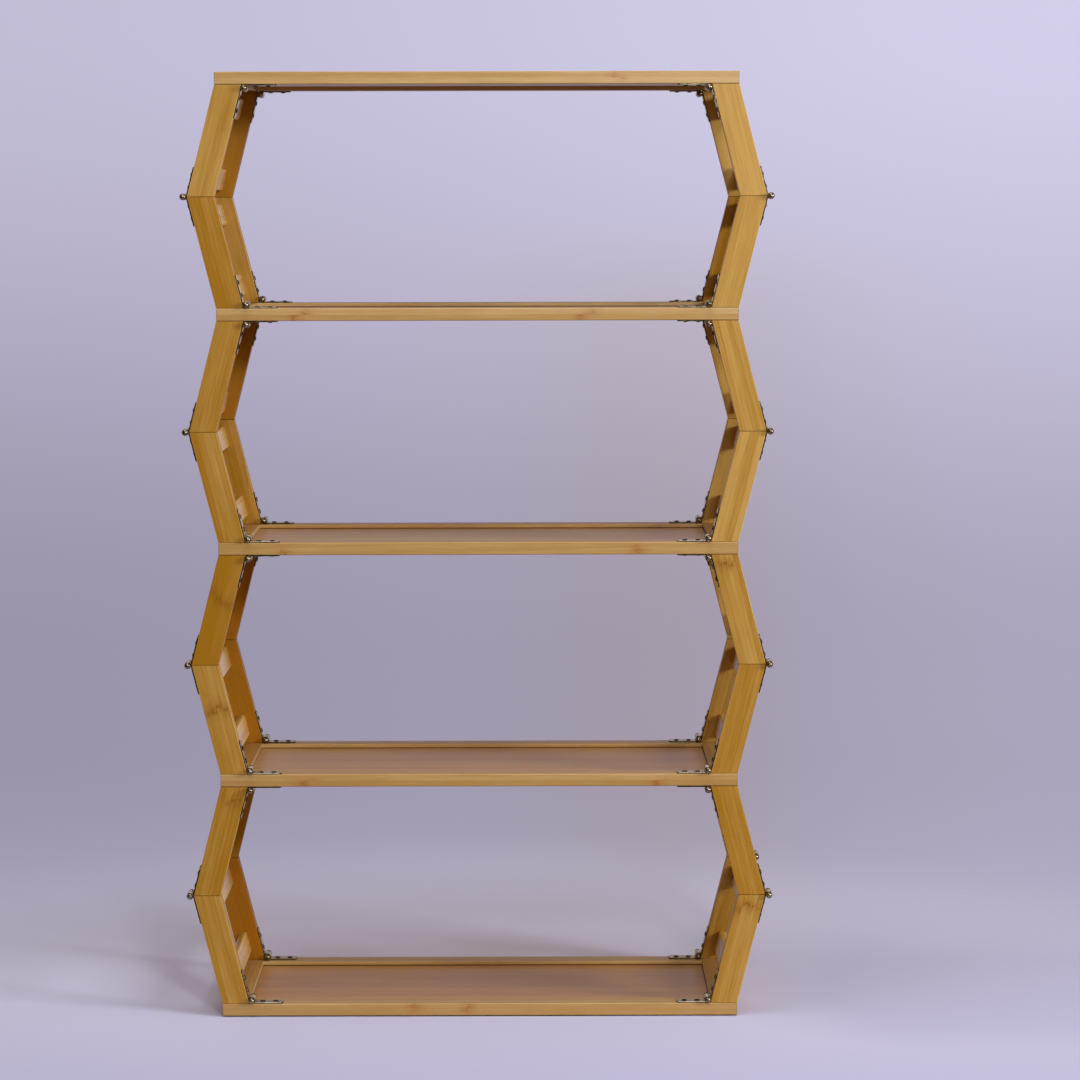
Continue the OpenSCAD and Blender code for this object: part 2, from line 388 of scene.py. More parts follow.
@dataclass(frozen=True)
class BambooFinish:
    """Laminated bamboo under a satin lacquer.

    Point attributes steer it. Grain gives millimetres along, across and through a piece, mark_a
    and mark_b place its growth nodes, and tone adds to its share of the honey colour and, when it
    is high, of the deep colours, shaded copies that paint shade on pieces standing in shadow. End
    marks the faces that cut the grain, and at full strength paints shade where parts meet and on
    the dark strips round a board. The edge highlight attribute marks the long roundings, which are
    painted paler as a highlight and made matt, and polish gives how thick the lacquer lies where
    it is thicker than the finish's own coat. A painted shadow line may run round a field of these
    half sizes in X and Y, where the field meets the wood round it.

    Shares say how strongly a layer tells, and ramps where it sets in and how far it goes. A bump
    is a strength and a depth in metres, and mark_line and mark_haze are a node's half widths, in
    millimetres, and how its noise breaks it up.
    """

    name: str
    pale: Colour
    honey: Colour
    node: Colour
    strip: Point
    end_grain: Colour = srgb(70, 34, 8)
    # Shaded copies of the wood's colour, which a high tone mixes in as painted shade.
    deep: tuple[Colour, Colour] = (srgb(206, 126, 38), srgb(146, 72, 8))
    contrast: float = 1.0
    gloss: Point = (0.4, 0.54)
    sheen: float = 0.42
    matt_sheen: float = 0.2
    matt: float = 0.4
    coat: float = 0.0
    coat_gloss: float = 0.34
    # Half sizes of a field whose rim takes a painted shadow line, if it has one.
    shade_seam: Point | None = None
    seam_line: Ramp = Ramp(-1.6 * MM, 0.1 * MM, 0.0, 0.85, smooth=True)
    strip_shift: Place = (311.7, 5.3, 7.9)
    strip_share: float = 0.46
    # How much paler the painted highlight makes the long roundings.
    worn_share: float = -0.35
    # Where a high tone turns into the painted shade colours.
    shade_ramp: Ramp = Ramp(0.9, 1.9)
    shade_grain: Ramp = Ramp(0.7, 1.3)
    glue_width: float = 0.22
    glue_share: float = 0.3
    pores: Ramp = Ramp(0.42, 0.6, 0.6, 1.0)
    bump: Point = (0.18, 0.00012)
    streak_rise: float = 0.6
    pit_depth: float = 0.5
    mark_share: float = 0.92
    mark_step: Ramp = Ramp(0.0, 1.0, -6.0, 6.0)
    mark_wave: Ramp = Ramp(*NOISE_RANGE, -1.2, 1.2)
    mark_line: tuple[float, Ramp] = (4.2, Ramp(0.36, 0.58, 0.1, 1.0))
    mark_haze: tuple[float, Ramp] = (8.0, Ramp(0.36, 0.64, 0.2, 0.7))

    def strips(self, graph: Graph, grain: Link) -> tuple[Link, Link, Link]:
        """Splits the wood into its glued strips.

        Args:
            graph: The material's nodes.
            grain: The grain coordinates.

        Returns:
            Each strip's own vector, its tone from 0 to 1, and the thin glue lines.
        """
        endless = 1e6
        cells = graph.vector("DIVIDE", grain, (endless, *self.strip))
        strip = graph.vector("FLOOR", cells)
        tone = graph.add("ShaderNodeTexWhiteNoise", {"Vector": strip}, noise_dimensions="3D")
        inside = graph.parts(graph.vector("FRACTION", cells))
        lines = []
        for part, width in zip((inside[1], inside[2]), self.strip):
            edge = graph.math("ABSOLUTE", graph.math("SUBTRACT", part, 0.5))
            lines.append(graph.span(edge, Ramp(0.5 - self.glue_width / width, 0.5)))
        return strip, tone.outputs[0], graph.math("MAXIMUM", *lines)

    def marks(self, graph: Graph, grain: Link, tone: Link, fibre: Link) -> Link:
        """Draws the growth nodes that a piece's mark attributes place.

        Args:
            graph: The material's nodes.
            grain: The grain coordinates.
            tone: Each strip's own number, 0 to 1, which also shifts its node.
            fibre: Fine noise that breaks a node's haze up.

        Returns:
            Strength of the nodes, 0 to 1.
        """
        spots = graph.noise(grain, SPOTS)
        shift = graph.math("ADD", graph.span(tone, self.mark_step),
                           graph.span(spots, self.mark_wave))
        layers = [(width, graph.span(noise, ramp)) for noise, (width, ramp)
                  in ((spots, self.mark_line), (fibre, self.mark_haze))]
        shapes = []
        for name in ("mark_a", "mark_b"):
            mark = graph.add("ShaderNodeAttribute", attribute_name=name)
            offset = graph.vector("SUBTRACT", grain, mark.outputs["Vector"])
            along = graph.math("ADD", graph.parts(offset)[0], shift)
            beside_shadow = graph.length(graph.vector("MULTIPLY", offset, (0.0, 1.0, 1.0)))
            strength = graph.math("MAXIMUM", *(graph.times(graph.bell(along, width), broken)
                                               for width, broken in layers))
            shapes.append(graph.times(strength, graph.bell(beside_shadow, mark.outputs["Alpha"])))
        return graph.math("MAXIMUM", *shapes)

    def joint(self, graph: Graph) -> Link:
        """Paints a shadow line where a field meets the wood round it.

        Args:
            graph: The material's nodes.

        Returns:
            Strength of the line, 0 to 1.
        """
        place = graph.vector("ABSOLUTE", graph.place())
        half = [size * MM for size in self.shade_seam]
        past = graph.parts(graph.vector("SUBTRACT", place, (*half, 0.0)))
        return graph.span(graph.math("MAXIMUM", past[0], past[1]), self.seam_line)

    def material(self) -> bpy.types.Material:
        """Builds the material.

        Returns:
            The finished bamboo.
        """
        made, graph = new_material(self.name)
        grain = graph.attribute("grain", "Vector")
        end, worn, polish, lot = (graph.attribute(name)
                                  for name in ("end", "worn", "polish", "tone"))
        strip, tone, glue = self.strips(graph, grain)
        shifted = graph.vector("ADD", grain, graph.vector("MULTIPLY", strip, self.strip_shift))
        layers = {noise: graph.noise(shifted, noise) for noise in HONEY_SHARES}
        streak, fibre, bundle = layers[STREAKS], layers[FIBRES], layers[BUNDLES]

        # Painted highlight: the long roundings are paler.
        lot = graph.math("MULTIPLY_ADD", worn, self.worn_share, lot)
        share = graph.times(tone, self.strip_share)
        for noise, ramp in HONEY_SHARES.items():
            share = graph.math("ADD", share, graph.span(layers[noise], ramp))
        share = graph.math("MULTIPLY_ADD", share, self.contrast, lot, clamp=True)
        # Painted shade: a high tone mixes in the shaded colours, with less sheen.
        shade_share = graph.span(lot, self.shade_ramp)
        deep = graph.mix(graph.span(graph.math("ADD", fibre, streak), self.shade_grain), *self.deep)
        colour = graph.mix(shade_share, graph.mix(share, self.pale, self.honey), deep)
        marks = self.marks(graph, grain, tone, fibre)
        stains = [(graph.times(glue, self.glue_share), self.node),
                  (graph.math("MULTIPLY", marks, self.mark_share, clamp=True), self.node),
                  (graph.times(end, graph.span(bundle, self.pores)), self.end_grain)]
        # Painted shadow line where the board meets the rails.
        if self.shade_seam:
            stains.append((self.joint(graph), self.end_grain))
        for strength, tint in stains:
            colour = graph.mix(strength, colour, tint)

        ridges = graph.math("ADD", fibre, graph.times(streak, self.streak_rise))
        pits = graph.times(graph.math("ADD", glue, bundle), self.pit_depth)
        normal = graph.bump(graph.math("SUBTRACT", ridges, pits), *self.bump)
        shader = graph.add("ShaderNodeBsdfPrincipled", {
            "Base Color": colour, "Normal": normal,
            "Roughness": graph.math("MULTIPLY_ADD", graph.math("MAXIMUM", end, worn), self.matt,
                                    graph.span(fibre, Ramp(*NOISE_RANGE, *self.gloss))),
            "Specular IOR Level": graph.span(
                graph.math("MAXIMUM", worn, shade_share),
                Ramp(0.0, 1.0, self.sheen, self.sheen * self.matt_sheen)),
            "Coat Weight": graph.math(
                "MAXIMUM", graph.span(end, Ramp(0.0, 1.0, self.coat, 0.0)), polish),
            "Coat Roughness": self.coat_gloss})
        graph.add("ShaderNodeOutputMaterial", {0: shader.outputs[0]})
        return made


@dataclass(frozen=True)
class BronzeFinish:
    """Antique bronze plate: a brushed metal with a darker skin where hands don't reach.

    The patina attribute gives how much of the skin is left, 0 to 1.
    """

    name: str
    bright: Colour
    skin: Colour
    gloss: Point = (0.2, 0.34)
    rim: Colour = srgb(240, 232, 214)
    dark_rim: Colour = srgb(120, 112, 98)
    cloud: Noise = Noise((160.0, 160.0, 160.0), 3.0)
    speck: Noise = Noise((1900.0, 1900.0, 1900.0), 2.0)
    brush: Noise = Noise((500.0, 4200.0, 500.0), 2.0)
    cloud_share: Ramp = Ramp(0.4, 0.7, 0.0, 0.3)
    speck_share: Ramp = Ramp(0.5, 0.75, 0.0, 0.3)
    patina_share: float = 0.85
    bump: Point = (0.12, 0.00005)

    def material(self) -> bpy.types.Material:
        """Builds the material.

        Returns:
            The finished bronze.
        """
        made, graph = new_material(self.name)
        place = graph.place()
        patina = graph.attribute("patina")
        cloud, speck, brush = (graph.noise(place, noise)
                               for noise in (self.cloud, self.speck, self.brush))
        share = graph.math("ADD", graph.span(cloud, self.cloud_share),
                           graph.span(speck, self.speck_share))
        share = graph.math("ADD", share, graph.times(patina, self.patina_share), clamp=True)
        normal = graph.bump(graph.math("ADD", brush, speck), *self.bump)
        shader = graph.add("ShaderNodeBsdfPrincipled", {
            "Base Color": graph.mix(share, self.bright, self.skin), "Metallic": 1.0,
            "Specular Tint": graph.mix(patina, self.rim, self.dark_rim),
            "Roughness": graph.span(share, Ramp(0.0, 1.0, *self.gloss)),
            "Normal": normal})
        graph.add("ShaderNodeOutputMaterial", {0: shader.outputs[0]})
        return made


RAIL_FINISH = BambooFinish("bamboo_rail", srgb(214, 186, 127), srgb(183, 147, 82),
                           srgb(152, 88, 8), (6.25, 6.0), contrast=1.3,
                           sheen=0.3, coat=0.35)
BOARD_FINISH = BambooFinish("bamboo_board", srgb(198, 148, 77), srgb(165, 109, 41),
                            srgb(96, 54, 16), (20.0, 4.0), contrast=0.9, sheen=0.45, coat=0.65,
                            shade_seam=LAYOUT.well)
STILE_FINISH = BambooFinish("bamboo_stile", srgb(214, 177, 98), srgb(170, 121, 10),
                            srgb(130, 80, 4), (6.25, 7.5), sheen=0.2)
BRONZE_FINISH = BronzeFinish("antique_bronze", srgb(216, 201, 166), srgb(38, 38, 32))


@dataclass(frozen=True)
class Mark:
    """A growth node: where it is along, across and through its piece, and how far it reaches."""

    along: float
    across: float
    through: float
    reach: float


NO_MARK = Mark(-1e5, 0.0, 0.0, 1.0)
MARK_COUNTS = (1, 2)
MARK_ACROSS = (3.0, 9.0, 15.0)
MARK_REACH = (3.0, 12.0)


def spare_marks(dice: random.Random, reach: float, middle: float = 0.0) -> tuple[Mark, ...]:
    """Draws growth nodes within a reach of the middle, for a bar whose nodes aren't seen."""
    return tuple(Mark(middle + dice.uniform(-reach, reach), dice.choice(MARK_ACROSS), 0.0,
                      dice.uniform(*MARK_REACH)) for _ in range(dice.choice(MARK_COUNTS)))


ATTRIBUTE_KINDS: dict[int, tuple[str, str]] = {
    1: ("FLOAT", "value"), 3: ("FLOAT_VECTOR", "vector"), 4: ("FLOAT_COLOR", "color")}


class Gathering:
    """Gathers solids, in millimetres, into one mesh for one node."""

    def __init__(self, name: str, material: bpy.types.Material) -> None:
        """Starts an empty mesh.

        Args:
            name: Name of the piece, which also seeds its chances.
            material: What it is made of.
        """
        self.name = name
        self.material = material
        self.dice = random.Random(name)
        self.corners: list[Vector] = []
        self.faces: list[tuple[int, ...]] = []
        self.values: dict[str, list[Sequence[float]]] = {}

    def add(self, solid: bmesh.types.BMesh, place: Matrix,
            values: dict[str, Sequence[Sequence[float]]]) -> None:
        """Adds one solid and frees it.

        Args:
            solid: The solid, as modelled.
            place: Where it goes, mirrored or not.
            values: Values of each point attribute, one for each corner.
        """
        start = len(self.corners)
        flip = place.determinant() < 0
        self.corners += [place @ vert.co for vert in solid.verts]
        for face in solid.faces:
            ring = [start + vert.index for vert in face.verts]
            self.faces.append(tuple(reversed(ring) if flip else ring))
        for name, rows in values.items():
            self.values.setdefault(name, []).extend(rows)
        solid.free()

    def add_mesh(self, mesh: bpy.types.Mesh, place: Matrix, names: Iterable[str]) -> None:
        """Adds a made mesh, given in metres, and removes it.

        Args:
            mesh: The mesh.
            place: Where it goes, in millimetres.
            names: The point attributes that are kept.
        """
        fields = dict(ATTRIBUTE_KINDS.values())
        values = {}
        for name in names:
            attribute = mesh.attributes[name]
            rows = [getattr(item, fields[attribute.data_type]) for item in attribute.data]
            values[name] = [(row,) if isinstance(row, float) else tuple(row) for row in rows]
        solid = bmesh.new()
        solid.from_mesh(mesh)
        bmesh.ops.scale(solid, vec=(1 / MM,) * 3, verts=solid.verts)
        solid.verts.index_update()
        self.add(solid, place, values)
        bpy.data.meshes.remove(mesh)

    def piece(self) -> bpy.types.Object:
        """Makes the mesh, with smooth small roundings and flat large faces.

        Returns:
            The piece at the origin, with its place in its mesh.
        """
        mesh = bpy.data.meshes.new(self.name)
        mesh.from_pydata([corner * MM for corner in self.corners], [], self.faces)
        for name, rows in self.values.items():
            kind, field_name = ATTRIBUTE_KINDS[len(rows[0])]
            attribute = mesh.attributes.new(name, kind, "POINT")
            attribute.data.foreach_set(field_name, [value for row in rows for value in row])
        mesh.shade_smooth()
        mesh.set_sharp_from_angle(angle=SHARP)
        rough = linked(f"{self.name}_rough", mesh)
        rough.modifiers.new("weighted", "WEIGHTED_NORMAL").keep_sharp = True
        made = plain(rough, self.name)
        made.data.materials.clear()
        made.data.materials.append(self.material)
        return made


def plain(source: bpy.types.Object, name: str) -> bpy.types.Object:
    """Turns an object and its modifiers into a plain mesh object, and removes the source.

    Args:
        source: The object, which is linked to the scene.
        name: Name of the result.

    Returns:
        The plain object, linked to the scene.
    """
    graph = bpy.context.evaluated_depsgraph_get()
    mesh = bpy.data.meshes.new_from_object(source.evaluated_get(graph), depsgraph=graph)
    remove(source)
    mesh.name = name
    return linked(name, mesh)


def remove(used: bpy.types.Object) -> None:
    """Removes an object and its mesh."""
    mesh = used.data
    bpy.data.objects.remove(used)
    bpy.data.meshes.remove(mesh)


@dataclass
class Bar:
    """A bar of bamboo: an outline in X and Z, drawn out along Y, with rounded edges.

    Edge and end are the roundings along the grain and round the ends, under is how darkly the
    long ones that face down are painted, as shade beneath the bar, and polish is how thick the
    lacquer lies. PARALLEL to FACES_DOWN tell edges and faces apart by the cosine of their angle.
    """

    outline: Sequence[Point]
    front: float
    back: float
    grain: Matrix
    edge: float = 0.6
    end: float = 0.5
    under: float = 0.0
    polish: float = 0.0

    PARALLEL = 0.99
    END_FACE = 0.7
    END_SLOPES = (0.25, 0.9)
    FLAT_SIDE = 0.95
    FACES_DOWN = -0.3
    EDGE_STEPS, END_STEPS = 3, 2
    END_DIRT = 0.45
    TONE_SPREAD = 0.08
    GRAIN_RUN = 4000
    STRIP_RUN = 400

    def solid(self) -> bmesh.types.BMesh:
        """Builds the bar and rounds first its long edges, then those of its ends.

        Returns:
            The solid.
        """
        made = bmesh.new()
        face = made.faces.new([made.verts.new((x, self.front, z)) for x, z in self.outline])
        moved = bmesh.ops.extrude_face_region(made, geom=[face])["geom"]
        bmesh.ops.translate(made, vec=(0, self.back - self.front, 0),
                            verts=[item for item in moved if isinstance(item, bmesh.types.BMVert)])
        bmesh.ops.recalc_face_normals(made, faces=made.faces)
        steps = ((self.edge, self.EDGE_STEPS, self.runs_along),
                 (self.end, self.END_STEPS, self.rims_end))
        for width, segments, wanted in steps:
            edges = [edge for edge in made.edges if wanted(edge)]
            bmesh.ops.bevel(made, geom=edges, offset=width, offset_type="OFFSET",
                            segments=segments, profile=0.5, affect="EDGES", clamp_overlap=False)
            made.normal_update()
        made.verts.index_update()
        return made

    def slope(self, way: Vector, axis: int = 0) -> float:
        """Gives the cosine between a direction and an axis of the grain."""
        return abs(way.dot(Vector(self.grain[axis][:3]).normalized()))

    def runs_along(self, edge: bmesh.types.BMEdge) -> bool:
        """Tells whether an edge runs along the grain."""
        way = edge.verts[1].co - edge.verts[0].co
        return self.slope(way.normalized()) > self.PARALLEL

    def rims_end(self, edge: bmesh.types.BMEdge) -> bool:
        """Tells whether an edge parts an end face from a long one."""
        ends = [self.slope(face.normal) > self.END_FACE for face in edge.link_faces]
        return len(ends) == 2 and ends[0] != ends[1]

    def edge_marks(self, normal: Vector) -> tuple[float, float]:
        """Gives the end and edge highlight attributes of a corner.

        End is full in the roundings round the ends, painting shade where parts meet, and less on
        the end faces inside them, which show end grain. The long roundings are painted paler as a
        highlight and made matt, but not those that face down, which may take painted shade
        instead.

        Args:
            normal: The corner's normal.

        Returns:
            Both, 0 to 1.
        """
        slope, *sides = (self.slope(normal, axis) for axis in range(3))
        rounding, face = self.END_SLOPES
        # Painted shade in the roundings round the ends, where parts meet, and end grain on the end
        # faces.
        if slope >= rounding:
            return 1.0 if slope < face else self.END_DIRT, 0.0
        if max(sides) >= self.FLAT_SIDE:
            return 0.0, 0.0
        # Long roundings take the painted highlight, and those that face down may take painted
        # shade.
        return (self.under, 0.0) if self.under and normal.z < self.FACES_DOWN else (0.0, 1.0)

    def gather(self, into: Gathering, place: Matrix, finish: BambooFinish,
               marks: Sequence[Mark] = (), tone: float = 0.0, painted_shade: float = 0.0) -> None:
        """Adds the bar to a mesh with its grain, its growth nodes and its end grain.

        Args:
            into: The mesh.
            place: Where the bar goes.
            finish: Its finish, for the size of its strips.
            marks: Up to two growth nodes, in the bar's grain coordinates.
            tone: How much more honey coloured it is; a high one mixes in the painted shade
                colours.
            painted_shade: Least end attribute, which paints the whole bar dark as shade.
        """
        across, through = finish.strip
        dice = into.dice
        shift = Vector((dice.uniform(0, self.GRAIN_RUN), dice.randrange(self.STRIP_RUN) * across,
                        dice.randrange(self.STRIP_RUN) * through))
        solid = self.solid()
        edge_marks = [self.edge_marks(vert.normal) for vert in solid.verts]
        own = tone + dice.uniform(-self.TONE_SPREAD, self.TONE_SPREAD)
        values: dict[str, list[Sequence[float]]] = {
            "grain": [self.grain @ vert.co + shift for vert in solid.verts],
            "tone": [(own,)] * len(edge_marks),
            "end": [(max(end, painted_shade),) for end, _ in edge_marks],
            "worn": [(worn,) for _, worn in edge_marks],
            "polish": [(self.polish,)] * len(edge_marks)}
        for name, mark in zip(("mark_a", "mark_b"), (*marks, NO_MARK, NO_MARK)):
            middle = Vector((mark.along, mark.across, mark.through)) + shift
            values[name] = [(*middle, mark.reach)] * len(edge_marks)
        into.add(solid, place, values)


BAR_ATTRIBUTES = ("grain", "end", "tone", "worn", "polish", "mark_a", "mark_b")


def grain_frame(origin: Vector, along: Vector, across: Vector) -> Matrix:
    """Gives the matrix from a modelled point to grain coordinates.

    Args:
        origin: Point where the grain coordinates are zero.
        along: Unit vector along the grain.
        across: Unit vector across the piece's width.

    Returns:
        The matrix.
    """
    turn = Matrix((along, across, along.cross(across))).to_4x4()
    return turn @ Matrix.Translation(-origin)


def rectangle(x: float, z: float, width: float, height: float) -> list[Point]:
    """Gives the outline of a rectangle about a middle, given its sizes in X and Z."""
    return [(x + right * width / 2, z + up * height / 2)
            for right, up in ((-1, -1), (1, -1), (1, 1), (-1, 1))]


class Repeater:
    """A geometry tree that sets one shape on many points, with its sizes as named inputs."""

    def __init__(self, name: str, sizes: Sequence[str], others: dict[str, str]) -> None:
        """Starts the tree.

        Args:
            name: Name of the tree.
            sizes: Names of the inputs that are plain numbers.
            others: Kinds of the other named inputs.
        """
        self.tree = bpy.data.node_groups.new(name, "GeometryNodeTree")
        self.graph = Graph(self.tree)
        self.keys: dict[str, str] = {}
        kinds = {"Points": "Geometry", **dict.fromkeys(sizes, "Float"), **others,
                 "Material": "Material"}
        for title, kind in kinds.items():
            socket = self.tree.interface.new_socket(title, in_out="INPUT",
                                                    socket_type=f"NodeSocket{kind}")
            self.keys[title] = socket.identifier
        self.tree.interface.new_socket("Result", in_out="OUTPUT", socket_type="NodeSocketGeometry")
        self.source = self.graph.add("NodeGroupInput")

    def input(self, name: str) -> Link:
        """Gives a named input's link."""
        return self.source.outputs[name]

    def shape(self, kind: str, inputs: dict[str, float | Link]) -> Link:
        """Adds a plain shape."""
        return self.graph.add(f"GeometryNodeMesh{kind}", inputs).outputs[0]

    def named(self, name: str) -> Link:
        """Reads a vector attribute."""
        return self.graph.add("GeometryNodeInputNamedAttribute", {"Name": name},
                              data_type="FLOAT_VECTOR").outputs[0]

    def turned(self, seed: Link | None = None) -> Link:
        """Turns each instance's Z to the point's axis attribute.

        Args:
            seed: Seed of a random turn about that axis, if there is one.

        Returns:
            The rotation.
        """
        turn = self.graph.add("FunctionNodeAlignRotationToVector", {"Vector": self.named("axis")},
                              axis="Z").outputs[0]
        if seed is None:
            return turn
        angle = self.graph.add("FunctionNodeRandomValue", {"Seed": seed, 2: 0.0, 3: math.tau},
                               data_type="FLOAT")
        spin = self.graph.add("FunctionNodeAxisAngleToRotation",
                              {"Axis": tuple(Z_AXIS), "Angle": angle.outputs[1]})
        return self.graph.add("FunctionNodeRotateRotation",
                              {"Rotation": turn, "Rotate By": spin.outputs[0]},
                              rotation_space="LOCAL").outputs[0]

    def moved(self, shape: Link, place: Link | Place = (0.0, 0.0, 0.0),
              scale: Link | Place = (1.0, 1.0, 1.0), turn: Place = (0.0, 0.0, 0.0)) -> Link:
        """Moves, scales and turns a shape."""
        return self.graph.add("GeometryNodeTransform", {
            "Geometry": shape, "Translation": place, "Scale": scale, "Rotation": turn}).outputs[0]

    def joined(self, operation: str, shapes: Sequence[Link], base: Link | None = None) -> Link:
        """Joins shapes into one closed one, or cuts them out of another.

        Args:
            operation: UNION or DIFFERENCE.
            shapes: The shapes.
            base: What a difference is cut from.

        Returns:
            The result.
        """
        node = self.graph.add("GeometryNodeMeshBoolean", {} if base is None else {"Mesh 1": base},
                              operation=operation, solver="EXACT")
        for shape in shapes:
            self.tree.links.new(shape, node.inputs["Mesh 2"])
        return node.outputs[0]

    def spread(self, shape: Link, rotation: Link, points: Link) -> Link:
        """Sets a shape on every point, as instances."""
        return self.graph.add("GeometryNodeInstanceOnPoints", {
            "Points": points, "Instance": shape, "Rotation": rotation}).outputs[0]

    def stored(self, shape: Link, name: str, value: Link, domain: str) -> Link:
        """Stores a vector attribute."""
        return self.graph.add("GeometryNodeStoreNamedAttribute", {
            "Geometry": shape, "Name": name, "Value": value}, data_type="FLOAT_VECTOR",
            domain=domain).outputs[0]

    def real(self, instances: Link) -> Link:
        """Makes instances real."""
        return self.graph.add("GeometryNodeRealizeInstances", {0: instances}).outputs[0]

    def close(self, shape: Link) -> None:
        """Ends the tree with the material."""
        dressed = self.graph.add("GeometryNodeSetMaterial", {
            "Geometry": shape, "Material": self.input("Material")})
        self.graph.add("NodeGroupOutput", {0: dressed.outputs[0]})

    def mesh(self, stands: Sequence[tuple[Vector, Vector]], sizes: dict[str, float],
             others: dict[str, object]) -> bpy.types.Mesh:
        """Runs the tree on points and gives its plain mesh.

        Args:
            stands: Each point, in millimetres, and the direction of its instance's Z.
            sizes: Inputs in millimetres.
            others: The other inputs.

        Returns:
            The mesh, in metres.
        """
        mesh = bpy.data.meshes.new("points")
        mesh.from_pydata([point * MM for point, _ in stands], [], [])
        axis = mesh.attributes.new("axis", "FLOAT_VECTOR", "POINT")
        axis.data.foreach_set("vector", [value for _, way in stands for value in way])
        rough = linked("points", mesh)
        modifier = rough.modifiers.new("repeat", "NODES")
        modifier.node_group = self.tree
        values = {name: size * MM for name, size in sizes.items()} | others
        for name, value in values.items():
            modifier[self.keys[name]] = value
        made = plain(rough, "repeated")
        result = made.data
        bpy.data.objects.remove(made)
        return result


class ScrewTree(Repeater):
    """Oval head wood screws with a cross recess."""

    SIDES = 16
    RINGS = 6
    RECESS_REACH = 0.56
    TIP_DROP = 0.98

    def __init__(self) -> None:
        """Builds the tree: head, countersunk cone, shank and tip, less the cross."""
        names = ("Head Width", "Head Height", "Shank Width", "Plate", "Grip", "Recess Width",
                 "Recess Depth")
        super().__init__("oval_screws", names, {"Seed": "Int"})
        graph = self.graph
        width, height, shank, plate, grip, slit, depth = (self.input(name) for name in names)
        ball = self.shape("UVSphere", {"Segments": self.SIDES, "Rings": self.RINGS, "Radius": 0.5})
        dome = self.moved(ball, scale=graph.combine(width, width, graph.times(height, 2.0)))
        stem = graph.times(shank, 0.5)
        cone = self.shape("Cone", {"Vertices": self.SIDES, "Radius Top": graph.times(width, 0.5),
                                   "Radius Bottom": stem, "Depth": plate})
        tip = self.shape("Cone", {"Vertices": self.SIDES, "Radius Top": stem,
                                  "Radius Bottom": 0.0, "Depth": grip})
        drop = graph.math("ADD", plate, graph.times(grip, self.TIP_DROP))
        below = [self.moved(part, place=graph.combine(z=graph.times(fall, -1.0)))
                 for part, fall in ((cone, plate), (tip, drop))]
        whole = self.joined("UNION", [dome, *below])
        slot = self.shape("Cube", {"Size": graph.combine(
            graph.times(width, self.RECESS_REACH), slit, graph.times(depth, 2.0))})
        cuts = [self.moved(slot, place=graph.combine(z=height), turn=(0.0, 0.0, angle))
                for angle in (0.0, math.pi / 2)]
        screw = self.joined("DIFFERENCE", [self.joined("UNION", cuts)], whole)
        rotation = self.turned(self.input("Seed"))
        self.close(self.real(self.spread(screw, rotation, self.input("Points"))))


class PinTree(Repeater):
    """Hinge pins with a ball and a neck on each end."""

    SIDES = 20
    BALL_SIDES = 24
    BALL_RINGS = 14
    NECK_DEPTH = 0.62

    def __init__(self) -> None:
        """Builds the tree: shaft, two necks and two balls."""
        names = ("Pin Width", "Neck Width", "Ball Width", "Ball Place")
        super().__init__("ball_pins", names, {})
        graph = self.graph
        pin, root, width, place = (self.input(name) for name in names)
        depth = graph.times(width, self.NECK_DEPTH)
        shaft, neck = (self.shape("Cylinder", {
            "Vertices": self.SIDES, "Radius": graph.times(across, 0.5), "Depth": length})
            for across, length in ((pin, graph.times(place, 2.0)), (root, depth)))
        ball = self.shape("UVSphere", {"Segments": self.BALL_SIDES, "Rings": self.BALL_RINGS,
                                       "Radius": graph.times(width, 0.5)})
        back = graph.math("SUBTRACT", place, graph.times(depth, 0.5))
        ends = [self.moved(part, place=graph.combine(z=graph.times(reach, way)))
                for way in (-1.0, 1.0) for part, reach in ((ball, place), (neck, back))]
        whole = self.joined("UNION", [shaft, *ends])
        self.close(self.real(self.spread(whole, self.turned(), self.input("Points"))))


class LadderTree(Repeater):
    """Cross slats at even steps up a side frame, each with its own run of the grain."""

    def __init__(self) -> None:
        """Builds the tree: a line of slats whose grain is shifted at random."""
        super().__init__("slat_ladder", ("Lean",), {
            "Slat": "Object", "Count": "Int", "First": "Vector", "Step": "Vector",
            "Strip": "Vector", "Seed": "Int"})
        graph = self.graph
        line = self.shape("Line", {"Count": self.input("Count"), "Offset": self.input("Step"),
                                   "Start Location": self.input("First")})
        slat = graph.add("GeometryNodeObjectInfo", {"Object": self.input("Slat")})
        lean = graph.add("FunctionNodeAxisAngleToRotation", {
            "Axis": tuple(Y_AXIS), "Angle": self.input("Lean")})
        slats = self.spread(slat.outputs["Geometry"], lean.outputs[0], line)
        dice = graph.add("FunctionNodeRandomValue", {
            "Seed": self.input("Seed"), 0: (0.0, 0.0, 0.0), 1: (Bar.GRAIN_RUN,) * 3},
            data_type="FLOAT_VECTOR")
        shift = graph.vector("SNAP", dice.outputs[0], self.input("Strip"))
        real = self.real(self.stored(slats, "shift", shift, "INSTANCE"))
        grain = graph.vector("ADD", self.named("grain"), self.named("shift"))
        self.close(self.stored(real, "grain", grain, "POINT"))


class Patina(Enum):
    """How much of the dark skin is left on a leaf's faces, edges and hollows."""

    RUBBED = 0.0
    EDGE = 0.75
    RIM = 0.9
    FULL = 1.0


